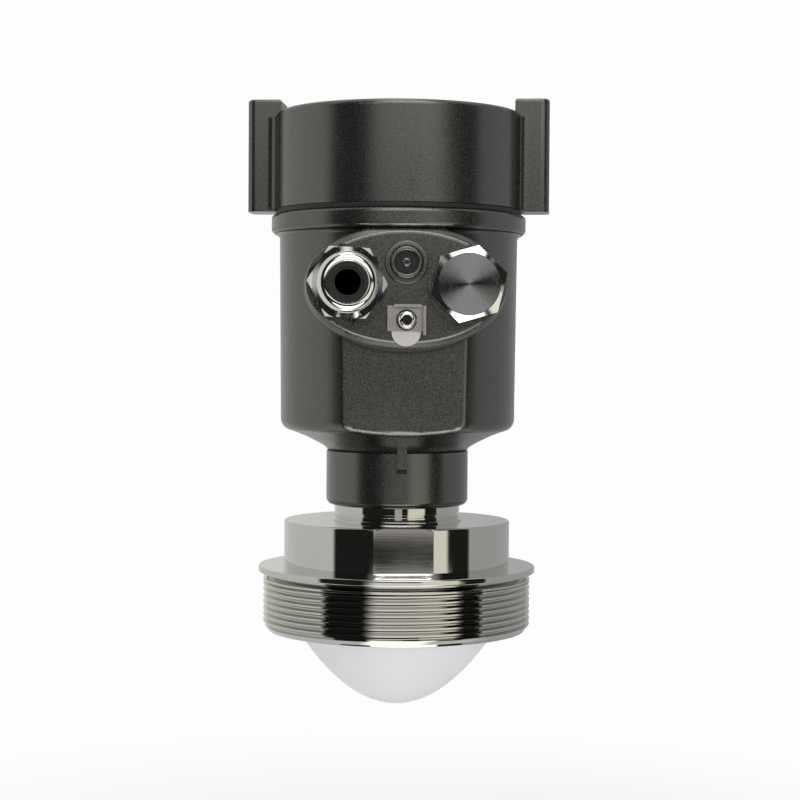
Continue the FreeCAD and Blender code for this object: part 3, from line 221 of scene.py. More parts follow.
@dataclass(frozen=True)
class Finish:
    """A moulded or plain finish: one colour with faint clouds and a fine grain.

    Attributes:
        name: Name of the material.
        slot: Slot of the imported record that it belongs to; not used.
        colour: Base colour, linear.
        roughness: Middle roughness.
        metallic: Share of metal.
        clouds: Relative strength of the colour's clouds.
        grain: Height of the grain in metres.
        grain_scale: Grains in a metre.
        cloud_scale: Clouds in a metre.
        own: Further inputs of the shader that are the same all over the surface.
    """

    name: str
    slot: str
    colour: Colour
    roughness: float
    metallic: float = 0.0
    clouds: float = 0.12
    grain: float = 1.5e-5
    grain_scale: float = 1400.0
    cloud_scale: float = field(default=55.0, kw_only=True)
    own: tuple[tuple[str, Any], ...] = field(default=(), kw_only=True)

    def build(self) -> bpy.types.Material:
        """Makes the material.

        Returns:
            The material.
        """
        material = bpy.data.materials.new(self.name)
        graph = Graph.fresh(material)
        constants = {"Metallic": self.metallic, "Roughness": self.roughness, **dict(self.own)}
        shader = graph.node("ShaderNodeBsdfPrincipled", constants)
        graph.node("ShaderNodeOutputMaterial", {"Surface": shader.outputs[0]})
        self.dress(graph, shader)
        return material

    def dress(self, graph: Graph, shader: bpy.types.Node) -> None:
        """Adds what varies over the surface.

        Args:
            graph: Tree of the material.
            shader: Its main shader.
        """
        at = graph.place()
        clouds = graph.noise(at, self.cloud_scale, 4.0)
        fine = graph.noise(at, self.grain_scale)
        self.colour_in(graph, shader, clouds)
        graph.link(shader, "Roughness", self.roughness + (clouds - 0.5) * 0.16 + (fine - 0.5) * 0.1)
        self.bump(graph, shader, fine, self.grain)

    def colour_in(self, graph: Graph, shader: bpy.types.Node, share: Signal) -> None:
        """Varies the base colour a little about its middle.

        Args:
            graph: Tree of the material.
            shader: Its main shader.
            share: Place between the darker and the lighter colour.
        """
        dark = tuple(c * (1 - self.clouds) for c in self.colour)
        light = tuple(min(1.0, c * (1 + self.clouds)) for c in self.colour)
        graph.link(shader, "Base Color", graph.mix(share, dark, light))

    def bump(self, graph: Graph, shader: bpy.types.Node, height: Signal, depth: float) -> None:
        """Gives the surface a relief."""
        relief = {"Height": height, "Strength": 1.0, "Distance": depth}
        graph.link(shader, "Normal", graph.signal("ShaderNodeBump", relief))


@dataclass(frozen=True)
class CastingPaint(Finish):
    """Satin grey coat with metal flakes over cast metal.

    Attributes:
        flakes: Strength of the flakes in the colour.
        flake_scale: Flakes in a metre.
        wave_scale: Waves of the coat in a metre.
    """

    grain_scale: float = 1900.0
    cloud_scale: float = field(default=38.0, kw_only=True)
    flakes: float = 0.5
    flake_scale: float = 2600.0
    wave_scale: float = 520.0

    def dress(self, graph: Graph, shader: bpy.types.Node) -> None:
        """Adds flakes, the coat's waviness and a cast grain.

        Args:
            graph: Tree of the material.
            shader: Its main shader.
        """
        at = graph.place()
        cells = graph.node("ShaderNodeTexVoronoi", {"Vector": at, "Scale": self.flake_scale})
        sparkle = graph.parts(cells.outputs["Color"])[0]
        cloud = graph.noise(at, self.cloud_scale, 4.0)
        grain = graph.noise(at, self.grain_scale)
        wave = graph.noise(at, self.wave_scale)
        share = (cloud - 0.5) * 0.4 + (grain - 0.5) * 0.8 + (sparkle - 0.5) * self.flakes + 0.5
        self.colour_in(graph, shader, share.most(0.0).least(1.0))
        rough = self.roughness + (cloud - 0.5) * 0.06 + (sparkle - 0.5) * 0.1
        graph.link(shader, "Roughness", rough)
        self.bump(graph, shader, grain * 0.6 + wave * 0.4, self.grain)


@dataclass(frozen=True)
class TurnedMetal(Finish):
    """Bright metal with the fine lines that a lathe leaves round an axis.

    Attributes:
        lines: Lines in a metre along Z.
        line_depth: Depth of the lines and scratches in metres.
    """

    grain_scale: float = 900.0
    cloud_scale: float = field(default=42.0, kw_only=True)
    lines: float = 2600.0
    line_depth: float = 6.6e-6

    def dress(self, graph: Graph, shader: bpy.types.Node) -> None:
        """Adds turning lines, faint stains and fine scratches.

        Args:
            graph: Tree of the material.
            shader: Its main shader.
        """
        line = graph.noise(graph.place((0.02, 0.02, 1.0)), self.lines)
        at = graph.place()
        cloud = graph.noise(at, self.cloud_scale, 4.0)
        speck = graph.noise(at, self.grain_scale)
        self.colour_in(graph, shader, cloud * 0.7 + line * 0.3)
        graph.link(shader, "Roughness", self.roughness + (cloud - 0.5) * 0.05 + (line - 0.5) * 0.03)
        self.bump(graph, shader, line * 0.8 + speck * 0.2, self.line_depth)


@dataclass(frozen=True)
class PlatedMetal(Finish):
    """Mirror-bright plating with faint ripples and a few fine scratches.

    Attributes:
        scratch_scale: Scratches in a metre.
    """

    grain_scale: float = 260.0
    scratch_scale: float = 3200.0

    def dress(self, graph: Graph, shader: bpy.types.Node) -> None:
        """Adds ripples and scratches.

        Args:
            graph: Tree of the material.
            shader: Its main shader.
        """
        at = graph.place()
        ripple = graph.noise(at, self.grain_scale)
        along = graph.place((1.0, 0.15, 0.1))
        scratches = graph.noise(along, self.scratch_scale, 1.0).step(0.62, 0.72)
        self.colour_in(graph, shader, ripple)
        graph.link(shader, "Roughness", self.roughness + ripple * 0.05 + scratches * 0.08)
        self.bump(graph, shader, ripple, self.grain)


@dataclass(frozen=True)
class PrintedBoard(Finish):
    """Circuit board: green mask with paler tracks and small bright pads.

    Attributes:
        lane_scale: Lanes between the tracks in a metre.
        pad_scale: Pads in a metre.
        pad_colour: Colour of the pads.
    """

    lane_scale: float = 260.0
    pad_scale: float = 400.0
    pad_colour: Colour = (0.62, 0.55, 0.34)

    def dress(self, graph: Graph, shader: bpy.types.Node) -> None:
        """Adds tracks and pads.

        Args:
            graph: Tree of the material.
            shader: Its main shader.
        """
        at = graph.place()
        x, y, _ = graph.parts(at)
        cells = {"distance": "CHEBYCHEV", "feature": "DISTANCE_TO_EDGE"}
        lanes = {"Vector": at, "Scale": self.lane_scale}
        track = 1 - graph.signal("ShaderNodeTexVoronoi", lanes, cells).step(0.04, 0.09)
        across, along = (abs((part * self.pad_scale).apply("FRACT") - 0.5) for part in (x, y))
        pad = (across + along).step(0.24, 0.18)
        base = graph.mix(track, self.colour, tuple(c * 1.9 for c in self.colour))
        graph.link(shader, "Base Color", graph.mix(pad, base, self.pad_colour))
        graph.link(shader, "Metallic", pad * 0.9)
        self.bump(graph, shader, track + pad, self.grain)


class Finishes(Enum):
    """Finishes of the gauge's pieces."""

    PAINT = CastingPaint(
        "housing_coat", "housing_paint", (0.140, 0.139, 0.133), 0.27, 0.95, 0.15, 3e-6)
    STEEL = TurnedMetal(
        "turned_stainless", "stainless", (0.575, 0.57, 0.545), 0.045, 1.0, 0.05, line_depth=9e-7)
    LENS = Finish(
        "lens_polymer", "lens_ptfe", (0.845, 0.86, 0.872), 0.42, 0.0, 0.012, 1.2e-5, 900.0,
        own=(("Subsurface Weight", 0.35), ("Subsurface Radius", (0.004, 0.004, 0.0045)),
             ("Subsurface Scale", 1.0), ("Specular IOR Level", 0.35)))
    RUBBER = Finish("seal_rubber", "seal_rubber", (0.012, 0.012, 0.012), 0.55, 0.0, 0.3, 2e-5)
    HORN = TurnedMetal("horn_alloy", "horn_metal", (0.72, 0.72, 0.72), 0.24, 1.0, 0.06)
    BOARD = PrintedBoard(
        "circuit_board", "circuit_board", (0.012, 0.09, 0.035), 0.4, 0.0, 0.1, 4e-5)
    SCREWS = PlatedMetal("zinc_screws", "small_screws", (0.62, 0.62, 0.6), 0.25, 1.0, 0.08, 3e-6)
    BLACK_STEEL = PlatedMetal(
        "blacked_steel", "black_steel", (0.05, 0.05, 0.055), 0.38, 0.8, 0.2, 4e-6)
    POTTING = Finish("potting", "potting_plastic", (0.03, 0.032, 0.036), 0.5)
    TERMINALS = Finish("terminal_strip", "terminal_plastic", (0.05, 0.22, 0.09), 0.42)
    DISPLAY_CUP = Finish("display_cup", "display_plastic", (0.045, 0.048, 0.052), 0.45)
    PANEL = Finish("display_panel", "display_lcd", (0.16, 0.19, 0.14), 0.3)
    GLASS = Finish("window_glass", "window_glass", (0.95, 0.96, 0.96), 0.04, 0.0, 0.01, 0.0,
                   own=(("Transmission Weight", 0.9), ("IOR", 1.5)))
    BUTTONS = Finish("button_rubber", "button_rubber", (0.10, 0.11, 0.12), 0.6)
    NICKEL = PlatedMetal(
        "bright_nickel", "nickel_brass", (0.76, 0.76, 0.735), 0.05, 1.0, 0.03, 2.5e-6)
    # Painted shade: the plug's turned face is the same bright nickel plating as the plug, given a
    # much darker colour so it reads as dark as the room that it mirrors.
    PLUG_FACE = PlatedMetal(
        "turned_nickel", "nickel_brass", (0.185, 0.186, 0.192), 0.10, 1.0, 0.03, 1e-6)
    VENT_PIN = PlatedMetal("vent_pin", "housing_paint", (0.22, 0.22, 0.215), 0.14, 1.0, 0.05, 1e-6)
    CLAW = Finish("claw_plastic", "claw_plastic", (0.008, 0.008, 0.008), 0.32, 0.0, 0.2, 8e-6)
    CLAMP = TurnedMetal("clamp_steel", "clamp_steel", (0.46, 0.445, 0.42), 0.34, 1.0, 0.10)
    TAB = TurnedMetal("bare_tab", "clamp_steel", (0.80, 0.77, 0.75), 0.38, 0.9, 0.05)


@dataclass(frozen=True)
class Cone:
    """Turned side of a piece, straight between two radii.

    Attributes:
        low_r, low: Radius and level of the lower end.
        high_r, high: Radius and level of the upper end.
    """

    low_r: float
    low: float
    high_r: float
    high: float

    def holds(self, place: Vector, slack: float = 0.02 * MM) -> bool:
        """Tells whether a point lies on the side."""
        share = (place.z - self.low) / (self.high - self.low)
        due = self.low_r + share * (self.high_r - self.low_r)
        return -0.001 < share < 1.001 and abs(math.hypot(place.x, place.y) - due) < slack

    def normal(self, place: Vector) -> Vector:
        """Outward normal."""
        out = Vector((place.x, place.y, 0)).normalized()
        out.z = (self.low_r - self.high_r) / (self.high - self.low)
        return out.normalized()


class Workshop:
    """Makes pieces from outlines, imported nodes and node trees, and hands them to their bodies."""

    def __init__(self, frame: dict[str, Any]) -> None:
        """Builds the materials."""
        self.nodes = frame["nodes"]
        self.materials = {finish: finish.value.build() for finish in Finishes}

    def coat(self, finishes: dict[Finishes, tuple[str, ...]]) -> None:
        """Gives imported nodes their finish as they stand.

        Args:
            finishes: Names of the nodes that get each finish.
        """
        for finish, nodes in finishes.items():
            for node in nodes:
                for slot in self.nodes[node].material_slots:
                    slot.material = self.materials[finish]
                LOG.info("%s is finished in %s", node, finish.value.name)

    def hand_over(self, piece: bpy.types.Object, body: Body, finish: Finishes,
                  *stands_for: str) -> None:
        """Finishes a piece and lets it ride on its body.

        Args:
            piece: The piece.
            body: Body that it moves with.
            finish: Its finish.
            stands_for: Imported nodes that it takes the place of.
        """
        piece.data.materials.clear()
        piece.data.materials.append(self.materials[finish])
        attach(piece, body.value)
        if stands_for:
            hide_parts(*stands_for)
        LOG.info("%s: %d faces on %s", piece.name, len(piece.data.polygons), body.value)

    @staticmethod
    def piece(name: str, mesh: bpy.types.Mesh) -> bpy.types.Object:
        """Puts a mesh in the scene."""
        made = bpy.data.objects.new(name, mesh)
        bpy.context.scene.collection.objects.link(made)
        return made

    def smooth(self, node: str, body: Body, finish: Finishes, sharp_deg: float = 24.0,
               cones: Sequence[Cone] = (), rolled: Sequence[Rim] = ()) -> None:
        """Puts a smooth-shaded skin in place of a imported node, with flats and edges kept crisp.

        Args:
            node: Name of the node.
            body: Body that it rides on.
            finish: Its finish.
            sharp_deg: Angle above which an edge stays sharp.
            cones: Turned sides that get the exact normals of a cone.
            rolled: Rims that are rounded over, each as a test for its points and a width.
        """
        mesh = bpy.data.meshes.new(node + "_skin")
        form = bmesh.new()
        form.from_mesh(self.nodes[node].data)
        bmesh.ops.remove_doubles(form, verts=form.verts, dist=WELD)
        for on_rim, width in rolled:
            rim = [edge for edge in form.edges if all(on_rim(v.co) for v in edge.verts)]
            bmesh.ops.bevel(form, geom=rim, offset=width, segments=4, profile=0.5, affect="EDGES",
                            clamp_overlap=False)
        if rolled:
            bmesh.ops.dissolve_degenerate(form, dist=WELD, edges=form.edges[:])
            self.put_in_order(form)
        flats = self.flat_faces(form)
        for edge in form.edges:
            sides = [face.index in flats for face in edge.link_faces]
            turned = edge.calc_face_angle(math.pi) > math.radians(sharp_deg)
            edge.smooth = not turned and (all(sides) or not any(sides))
        for face in form.faces:
            face.smooth = True
        form.to_mesh(mesh)
        form.free()
        if cones:
            self.round_off(mesh, cones)
        self.hand_over(self.piece(node + "_skin", mesh), body, finish, node)

    @staticmethod
    def put_in_order(form: bmesh.types.BMesh) -> None:
        """Sorts points by place and faces by their points, as a bevel gives no fixed order.

        Args:
            form: Mesh whose rims were rounded.
        """
        for rank, point in enumerate(sorted(form.verts, key=lambda v: tuple(v.co))):
            point.index = rank
        form.verts.sort()
        form.verts.index_update()
        faces = sorted(form.faces, key=lambda face: sorted(v.index for v in face.verts))
        for rank, face in enumerate(faces):
            face.index = rank
        form.faces.sort()

    @staticmethod
    def round_off(mesh: bpy.types.Mesh, cones: Sequence[Cone]) -> None:
        """Gives the facets of turned sides the normals of the true surface.

        Args:
            mesh: Skin whose facets are shaded.
            cones: The turned sides.
        """
        normals = [Vector((0, 0, 0)) for _ in mesh.loops]
        for facet in mesh.polygons:
            places = [mesh.vertices[k].co for k in facet.vertices]
            for cone in cones:
                faces_out = facet.normal.dot(cone.normal(facet.center)) > 0.9
                if faces_out and all(cone.holds(place) for place in places):
                    for loop, place in zip(facet.loop_indices, places):
                        normals[loop] = cone.normal(place)
        mesh.normals_split_custom_set(normals)

    @staticmethod
    def flat_faces(form: bmesh.types.BMesh, level: float = 0.002,
                   least_width: float = 4.5 * MM) -> set[int]:
        """Faces of true flats, as against the narrow facets of a curve.

        Args:
            form: Welded mesh.
            level: Angle under which neighbours count as one flat.
            least_width: Width that a flat has at least.

        Returns:
            Numbers of the faces that lie on flats.
        """
        form.faces.index_update()
        seen: set[int] = set()
        flats: set[int] = set()
        for first in form.faces:
            if first.index in seen:
                continue
            seen.add(first.index)
            region, queue = [first], [first]
            while queue:
                for edge in queue.pop().edges:
                    for face in edge.link_faces:
                        if face.index not in seen and edge.calc_face_angle(math.pi) < level:
                            seen.add(face.index)
                            region.append(face)
                            queue.append(face)
            places = [v.co for face in region for v in face.verts]
            longest = max(max(p[k] for p in places) - min(p[k] for p in places) for k in range(3))
            if sum(face.calc_area() for face in region) > least_width * longest:
                flats.update(face.index for face in region)
        return flats

    @staticmethod
    def applied(piece: bpy.types.Object) -> bpy.types.Mesh:
        """Turns a piece's modifiers into plain mesh.

        Args:
            piece: The piece.

        Returns:
            Its new mesh.
        """
        depsgraph = bpy.context.evaluated_depsgraph_get()
        mesh = bpy.data.meshes.new_from_object(piece.evaluated_get(depsgraph), depsgraph=depsgraph)
        piece.modifiers.clear()
        old = piece.data
        piece.data = mesh
        if old.users == 0:
            bpy.data.meshes.remove(old)
        return mesh

    def lathe(self, name: str, outline: Outline, columns: Sequence[float],
              reach: Reach | None = None, sharp_deg: float = 24.0,
              closed: bool = True) -> bpy.types.Object:
        """Piece turned about Z.

        Args:
            name: Name of the piece.
            outline: (radius, level) points, anticlockwise in the plane of radius and level.
            columns: Angles of the columns in radians, rising through one turn.
            reach: Gives the radius at (radius, level, angle) where the piece isn't round.
            sharp_deg: Angle above which an edge stays sharp.
            closed: Joins the outline's last point to its first.

        Returns:
            The piece.
        """
        count = len(outline)
        points = []
        for angle in columns:
            for radius, level in outline:
                held = reach(radius, level, angle) if reach else radius
                points.append((held * math.sin(angle), -held * math.cos(angle), level))
        faces = []
        for column in range(len(columns)):
            here, there = column * count, (column + 1) % len(columns) * count
            for row in range(count if closed else count - 1):
                after = (row + 1) % count
                faces.append((here + row, there + row, there + after, here + after))
        mesh = bpy.data.meshes.new(name)
        mesh.from_pydata(points, [], faces)
        piece = self.piece(name, mesh)
        weld = piece.modifiers.new("weld", "WELD")
        weld.merge_threshold = 1e-7
        welded = self.applied(piece)
        welded.shade_smooth()
        welded.set_sharp_from_angle(angle=math.radians(sharp_deg))
        even = piece.modifiers.new("even", "WEIGHTED_NORMAL")
        even.keep_sharp = True
        self.applied(piece)
        return piece


def in_metres(corners: Sequence[tuple[float, ...]]) -> list[tuple[float, ...]]:
    """Turns corners in millimetres into metres."""
    return [tuple(value * MM for value in corner) for corner in corners]


def to_front(across: float, reach: float, level: float) -> Matrix:
    """Stands a piece that was turned about Z on the front, its foot at the given place."""
    return Matrix.Translation((across, -reach, level)) @ Matrix.Rotation(math.pi / 2, 4, "X")


def even_columns(count: int) -> list[float]:
    """Evenly spaced angles."""
    return [math.tau * index / count for index in range(count)]


def rounded(outline: Sequence[tuple[float, ...]], steps: int = 5) -> Outline:
    """Rounds the corners of a closed outline that give a third value, the radius.

    Args:
        outline: (radius, level) or (radius, level, rounding) corners.
        steps: Straight parts of each rounding.

    Returns:
        The outline as plain points.
    """
    points: Outline = []
    for index, corner in enumerate(outline):
        here = Vector(corner[:2])
        if len(corner) < 3:
            points.append((here.x, here.y))
            continue
        before = (Vector(outline[index - 1][:2]) - here).normalized()
        after = (Vector(outline[(index + 1) % len(outline)][:2]) - here).normalized()
        half = before.angle(after) / 2
        centre = here + (before + after).normalized() * (corner[2] / math.sin(half))
        start = here + before * (corner[2] / math.tan(half)) - centre
        end = here + after * (corner[2] / math.tan(half)) - centre
        sweep = start.angle_signed(end)
        for step in range(steps + 1):
            arm = Matrix.Rotation(-sweep * step / steps, 2) @ start
            points.append((centre.x + arm.x, centre.y + arm.y))
    return points


# Threads


@dataclass(frozen=True)
class ThreadRidge:
    """Ridge of a thread, wound as a helix by a node tree.

    Attributes:
        name: Name of the piece.
        root: Radius at the ridge's foot.
        depth: Height of the ridge.
        pitch: Rise in one turn.
        foot, crest: Width of the ridge at its foot and at its crest.
        bottom, top: Levels at which the ridge starts and ends.
        lead_height, lead_depth: Height and depth of the cone that cuts the lower end, or 0.
        segments: Straight parts in one turn.
    """

    name: str
    root: float
    depth: float
    pitch: float
    foot: float
    crest: float
    bottom: float
    top: float
    lead_height: float = 0.0
    lead_depth: float = 0.0
    segments: int = 144

    def tree(self, material: bpy.types.Material) -> bpy.types.NodeTree:
        """Node tree that bends a strip of four rows into the ridge.

        Args:
            material: Finish of the ridge.

        Returns:
            The tree, with the sizes as named inputs.
        """
        tree = bpy.data.node_groups.new("thread_ridge", "GeometryNodeTree")
        sizes = {
            "Root radius": self.root, "Depth": self.depth, "Pitch": self.pitch,
            "Foot width": self.foot, "Crest width": self.crest, "Bottom": self.bottom,
            "Height": self.top - self.bottom, "Lead height": self.lead_height,
            "Lead depth": self.lead_depth,
        }
        for name, value in sizes.items():
            given = tree.interface.new_socket(name, in_out="INPUT", socket_type="NodeSocketFloat")
            given.default_value = value
        tree.interface.new_socket("Geometry", in_out="OUTPUT", socket_type="NodeSocketGeometry")
        graph = Graph(tree)
        entry = graph.node("NodeGroupInput")
        size = {name: Signal(graph, entry.outputs[name]) for name in sizes}
        turns = (self.top - self.bottom) / self.pitch
        columns = int(self.segments * turns) + 1
        grid = {"Size X": 1.0, "Size Y": 1.0, "Vertices X": columns, "Vertices Y": 4}
        strip = graph.signal("GeometryNodeMeshGrid", grid)
        x, y, _ = graph.parts(graph.signal("GeometryNodeInputPosition"))
        along = x + 0.5
        row = (y + 0.5) * 3 - 1.5
        outer = (abs(row) + 0.01).apply("FLOOR")
        side = row.apply("SIGN")
        fade = along.step(0.0, 0.01) * (1 - along.step(0.99, 1.0))
        width = size["Crest width"] + outer * (size["Foot width"] - size["Crest width"])
        middle = size["Bottom"] + along * size["Height"]
        level = (middle + side * width * 0.5).most(size["Bottom"])
        level = level.least(size["Bottom"] + size["Height"])
        crest = size["Root radius"] + size["Depth"] * (1 - outer) * fade
        below = (size["Bottom"] + size["Lead height"] - level).most(0.0)
        below = below / size["Lead height"].most(1e-6)
        radius = crest.least(size["Root radius"] + size["Depth"] - below * size["Lead depth"])
        angle = along * size["Height"] / size["Pitch"] * math.tau
        ahead, aside = radius * angle.apply("COSINE"), radius * angle.apply("SINE")
        place = graph.signal("ShaderNodeCombineXYZ", {0: ahead, 1: aside, 2: level})
        wound = graph.signal("GeometryNodeSetPosition", {"Geometry": strip, "Position": place})
        real = graph.signal("GeometryNodeRealizeInstances", {0: wound})
        done = graph.signal("GeometryNodeSetMaterial", {"Geometry": real, "Material": material})
        graph.node("NodeGroupOutput", {0: done})
        return tree

    def wind(self, shop: Workshop, body: Body, finish: Finishes) -> None:
        """Makes the ridge and hands it over.

        Args:
            shop: Workshop that holds the materials.
            body: Body that it rides on.
            finish: Its finish.
        """
        tree = self.tree(shop.materials[finish])
        piece = shop.piece(self.name, bpy.data.meshes.new(self.name))
        modifier = piece.modifiers.new("thread", "NODES")
        modifier.node_group = tree
        for item in tree.interface.items_tree:
            if item.in_out == "INPUT":
                modifier[item.identifier] = item.default_value
        mesh = shop.applied(piece)
        middle = mesh.polygons[len(mesh.polygons) // 2 + 1]
        if middle.normal.dot(Vector((middle.center.x, middle.center.y, 0))) < 0:
            mesh.flip_normals()
        mesh.shade_smooth()
        mesh.set_sharp_from_angle(angle=math.radians(20))
        shop.hand_over(piece, body, finish)


# Sub-assemblies


@dataclass
class ProcessFitting:
    """Stainless fitting with its thread, and the lens antenna below it.

    Attributes:
        rim_r, rim_top: Radius and upper level of the sealing rim.
        recess_r, recess: Radius and height of the recess inside the sealing face.
        flange_r, flange_top: Radius and top of the wrench flange.
        flat_distance: Distance of each wrench flat from the axis.
        cutter_r: Radius that the cutter leaves at the flats' foot.
        shaft_r, shoulder: Radius of the shaft, and level of the housing's seat on it.
        spigot_r, spigot_top: Radius and top of the spigot in the housing's neck.
        thread_r, thread_depth, thread_pitch: Major radius, depth and pitch of the thread.
        thread_bottom: Level of the fitting's lower face.
        relief_r: Radius of the undercut above the thread.
        hub_r: Radius of the low hub on the flange.
        mouth: Corners of the bore, the horn's pocket and the lens's seat in millimetres.
        hub: Corners of the hub's top and the shaft's groove in millimetres, with roundings.
        grooves: Lower level, upper level and depth of the spigot's grooves in millimetres.
    """

    rim_r: float = 52.0 * MM
    rim_top: float = 2.3 * MM
    recess_r: float = 50.465 * MM
    recess: float = 0.3 * MM
    flange_r: float = 42.4 * MM
    flange_top: float = 19.3 * MM
    flat_distance: float = 41.0 * MM
    cutter_r: float = 1.35 * MM
    shaft_r: float = 23.5 * MM
    shoulder: float = 25.2 * MM
    spigot_r: float = 19.94 * MM
    spigot_top: float = 47.6 * MM
    thread_r: float = 50.165 * MM
    thread_depth: float = 1.45 * MM
    thread_bottom: float = -21.9 * MM
    thread_pitch: float = 2.309 * MM
    relief_r: float = 48.2 * MM
    hub_r: float = 24.4 * MM
    mouth: Corners = ((8.1, 17.0), (29.0, 17.0), (29.0, -5.0), (33.1, -5.0), (33.1, -17.0),
                      (37.1, -17.0))
    hub: Corners = ((24.4, 20.1, 0.2), (23.5, 20.1), (23.5, 21.6, 0.1), (22.8, 21.6), (22.8, 22.5),
                    (23.5, 22.5, 0.1))
    grooves: Corners = ((29.8, 31.8, 2.0), (34.2, 36.2, 2.0), (39.4, 42.6, 1.6), (45.3, 46.5, 1.4))

    def outline(self) -> Outline:
        """Turned outline of the body under the thread's ridge.

        Returns:
            Points anticlockwise from the lower end of the bore.
        """
        root = self.thread_r - self.thread_depth
        edge = 0.35 * MM
        bevel = 0.5 * MM
        corners = [
            *in_metres(self.mouth), (self.mouth[-1][0] * MM, self.thread_bottom, edge),
            (root - 0.45 * MM, self.thread_bottom, edge), (root, self.thread_bottom + 1.0 * MM),
            (root, -3.45 * MM), (self.thread_r, -3.0 * MM, 0.1 * MM),
            (self.thread_r, -2.3 * MM, 0.15 * MM), (self.relief_r, -1.0 * MM, 0.1 * MM),
            (self.relief_r, self.recess), (self.recess_r, self.recess), (self.recess_r, 0.0),
            (self.rim_r, 0.0, bevel), (self.rim_r, self.rim_top, bevel),
            (self.flange_r, self.rim_top),
        ]
        for step in range(1, 9):
            rise = self.cutter_r * (1 - math.cos(math.pi / 2 * step / 8))
            corners.append((self.flange_r, self.rim_top + rise))
        corners += [
            (self.flange_r, self.flange_top - 0.01 * MM, 0.6 * MM), (self.hub_r, self.flange_top),
            *in_metres(self.hub), (self.shaft_r, self.shoulder, 0.2 * MM),
            (self.spigot_r, self.shoulder),
        ]
        for low, high, depth in in_metres(self.grooves):
            inner = self.spigot_r - depth
            corners += [(self.spigot_r, low), (inner, low), (inner, high), (self.spigot_r, high)]
        corners.append((self.spigot_r, self.spigot_top, 0.4 * MM))
        corners.append((self.mouth[0][0] * MM, self.spigot_top))
        return rounded(corners, 8)

    def reach(self, radius: float, level: float, angle: float) -> float:
        """Radius of the body where the two wrench flats cut it.

        Args:
            radius: Turned radius.
            level: Height above the sealing face.
            angle: Angle from the front.

        Returns:
            The smaller of the turned radius and the flat's distance at that angle.
        """
        outside = self.flat_distance - 2 * MM <= radius <= self.flange_r + 0.1 * MM
        if level <= self.rim_top or not outside:
            return radius
        rise = min(1.0, (level - self.rim_top) / self.cutter_r)
        flat = self.flat_distance + self.cutter_r * (1 - math.sqrt(1 - (1 - rise) ** 2))
        return min(radius, flat / max(0.1, abs(math.cos(angle))))

    def columns(self) -> list[float]:
        """Columns of the body, with one at each edge of each flat.

        Returns:
            Their angles in radians, rising.
        """
        edge = math.acos(self.flat_distance / self.flange_r)
        angles = set(even_columns(240))
        for middle in (0.0, math.pi):
            for side in (-edge, edge):
                due = middle + side
                clear = math.pi - 0.006
                angles = {a for a in angles if abs((a - due) % math.tau - math.pi) < clear}
                angles.add(due % math.tau)
        return sorted(angles)

    def make(self, shop: Workshop) -> None:
        """Builds and dresses the fitting and its inner pieces.

        Args:
            shop: The workshop.
        """
        body = shop.lathe("fitting_body", self.outline(), self.columns(), self.reach, 12.5)
        shop.hand_over(body, Body.FITTING, Finishes.STEEL, "process_fitting")
        depth = self.thread_depth + 0.01 * MM
        ridge = ThreadRidge(
            "fitting_thread", root=self.thread_r - depth, depth=depth, pitch=self.thread_pitch,
            foot=self.thread_pitch - 0.25 * MM, crest=0.62 * MM,
            bottom=self.thread_bottom + 0.1 * MM, top=-3.2 * MM, lead_height=2.4 * MM,
            lead_depth=1.85 * MM, segments=176)
        ridge.wind(shop, Body.FITTING, Finishes.STEEL)
        shop.smooth("antenna_lens", Body.FITTING, Finishes.LENS)
        shop.coat({
            Finishes.RUBBER: ("lens_seal_ring", "swivel_seals"), Finishes.HORN: ("feed_horn",),
            Finishes.BOARD: ("radar_board",), Finishes.SCREWS: ("radar_board_screws",),
            Finishes.BLACK_STEEL: ("cable_feedthrough", "swivel_retaining_ring"),
        })


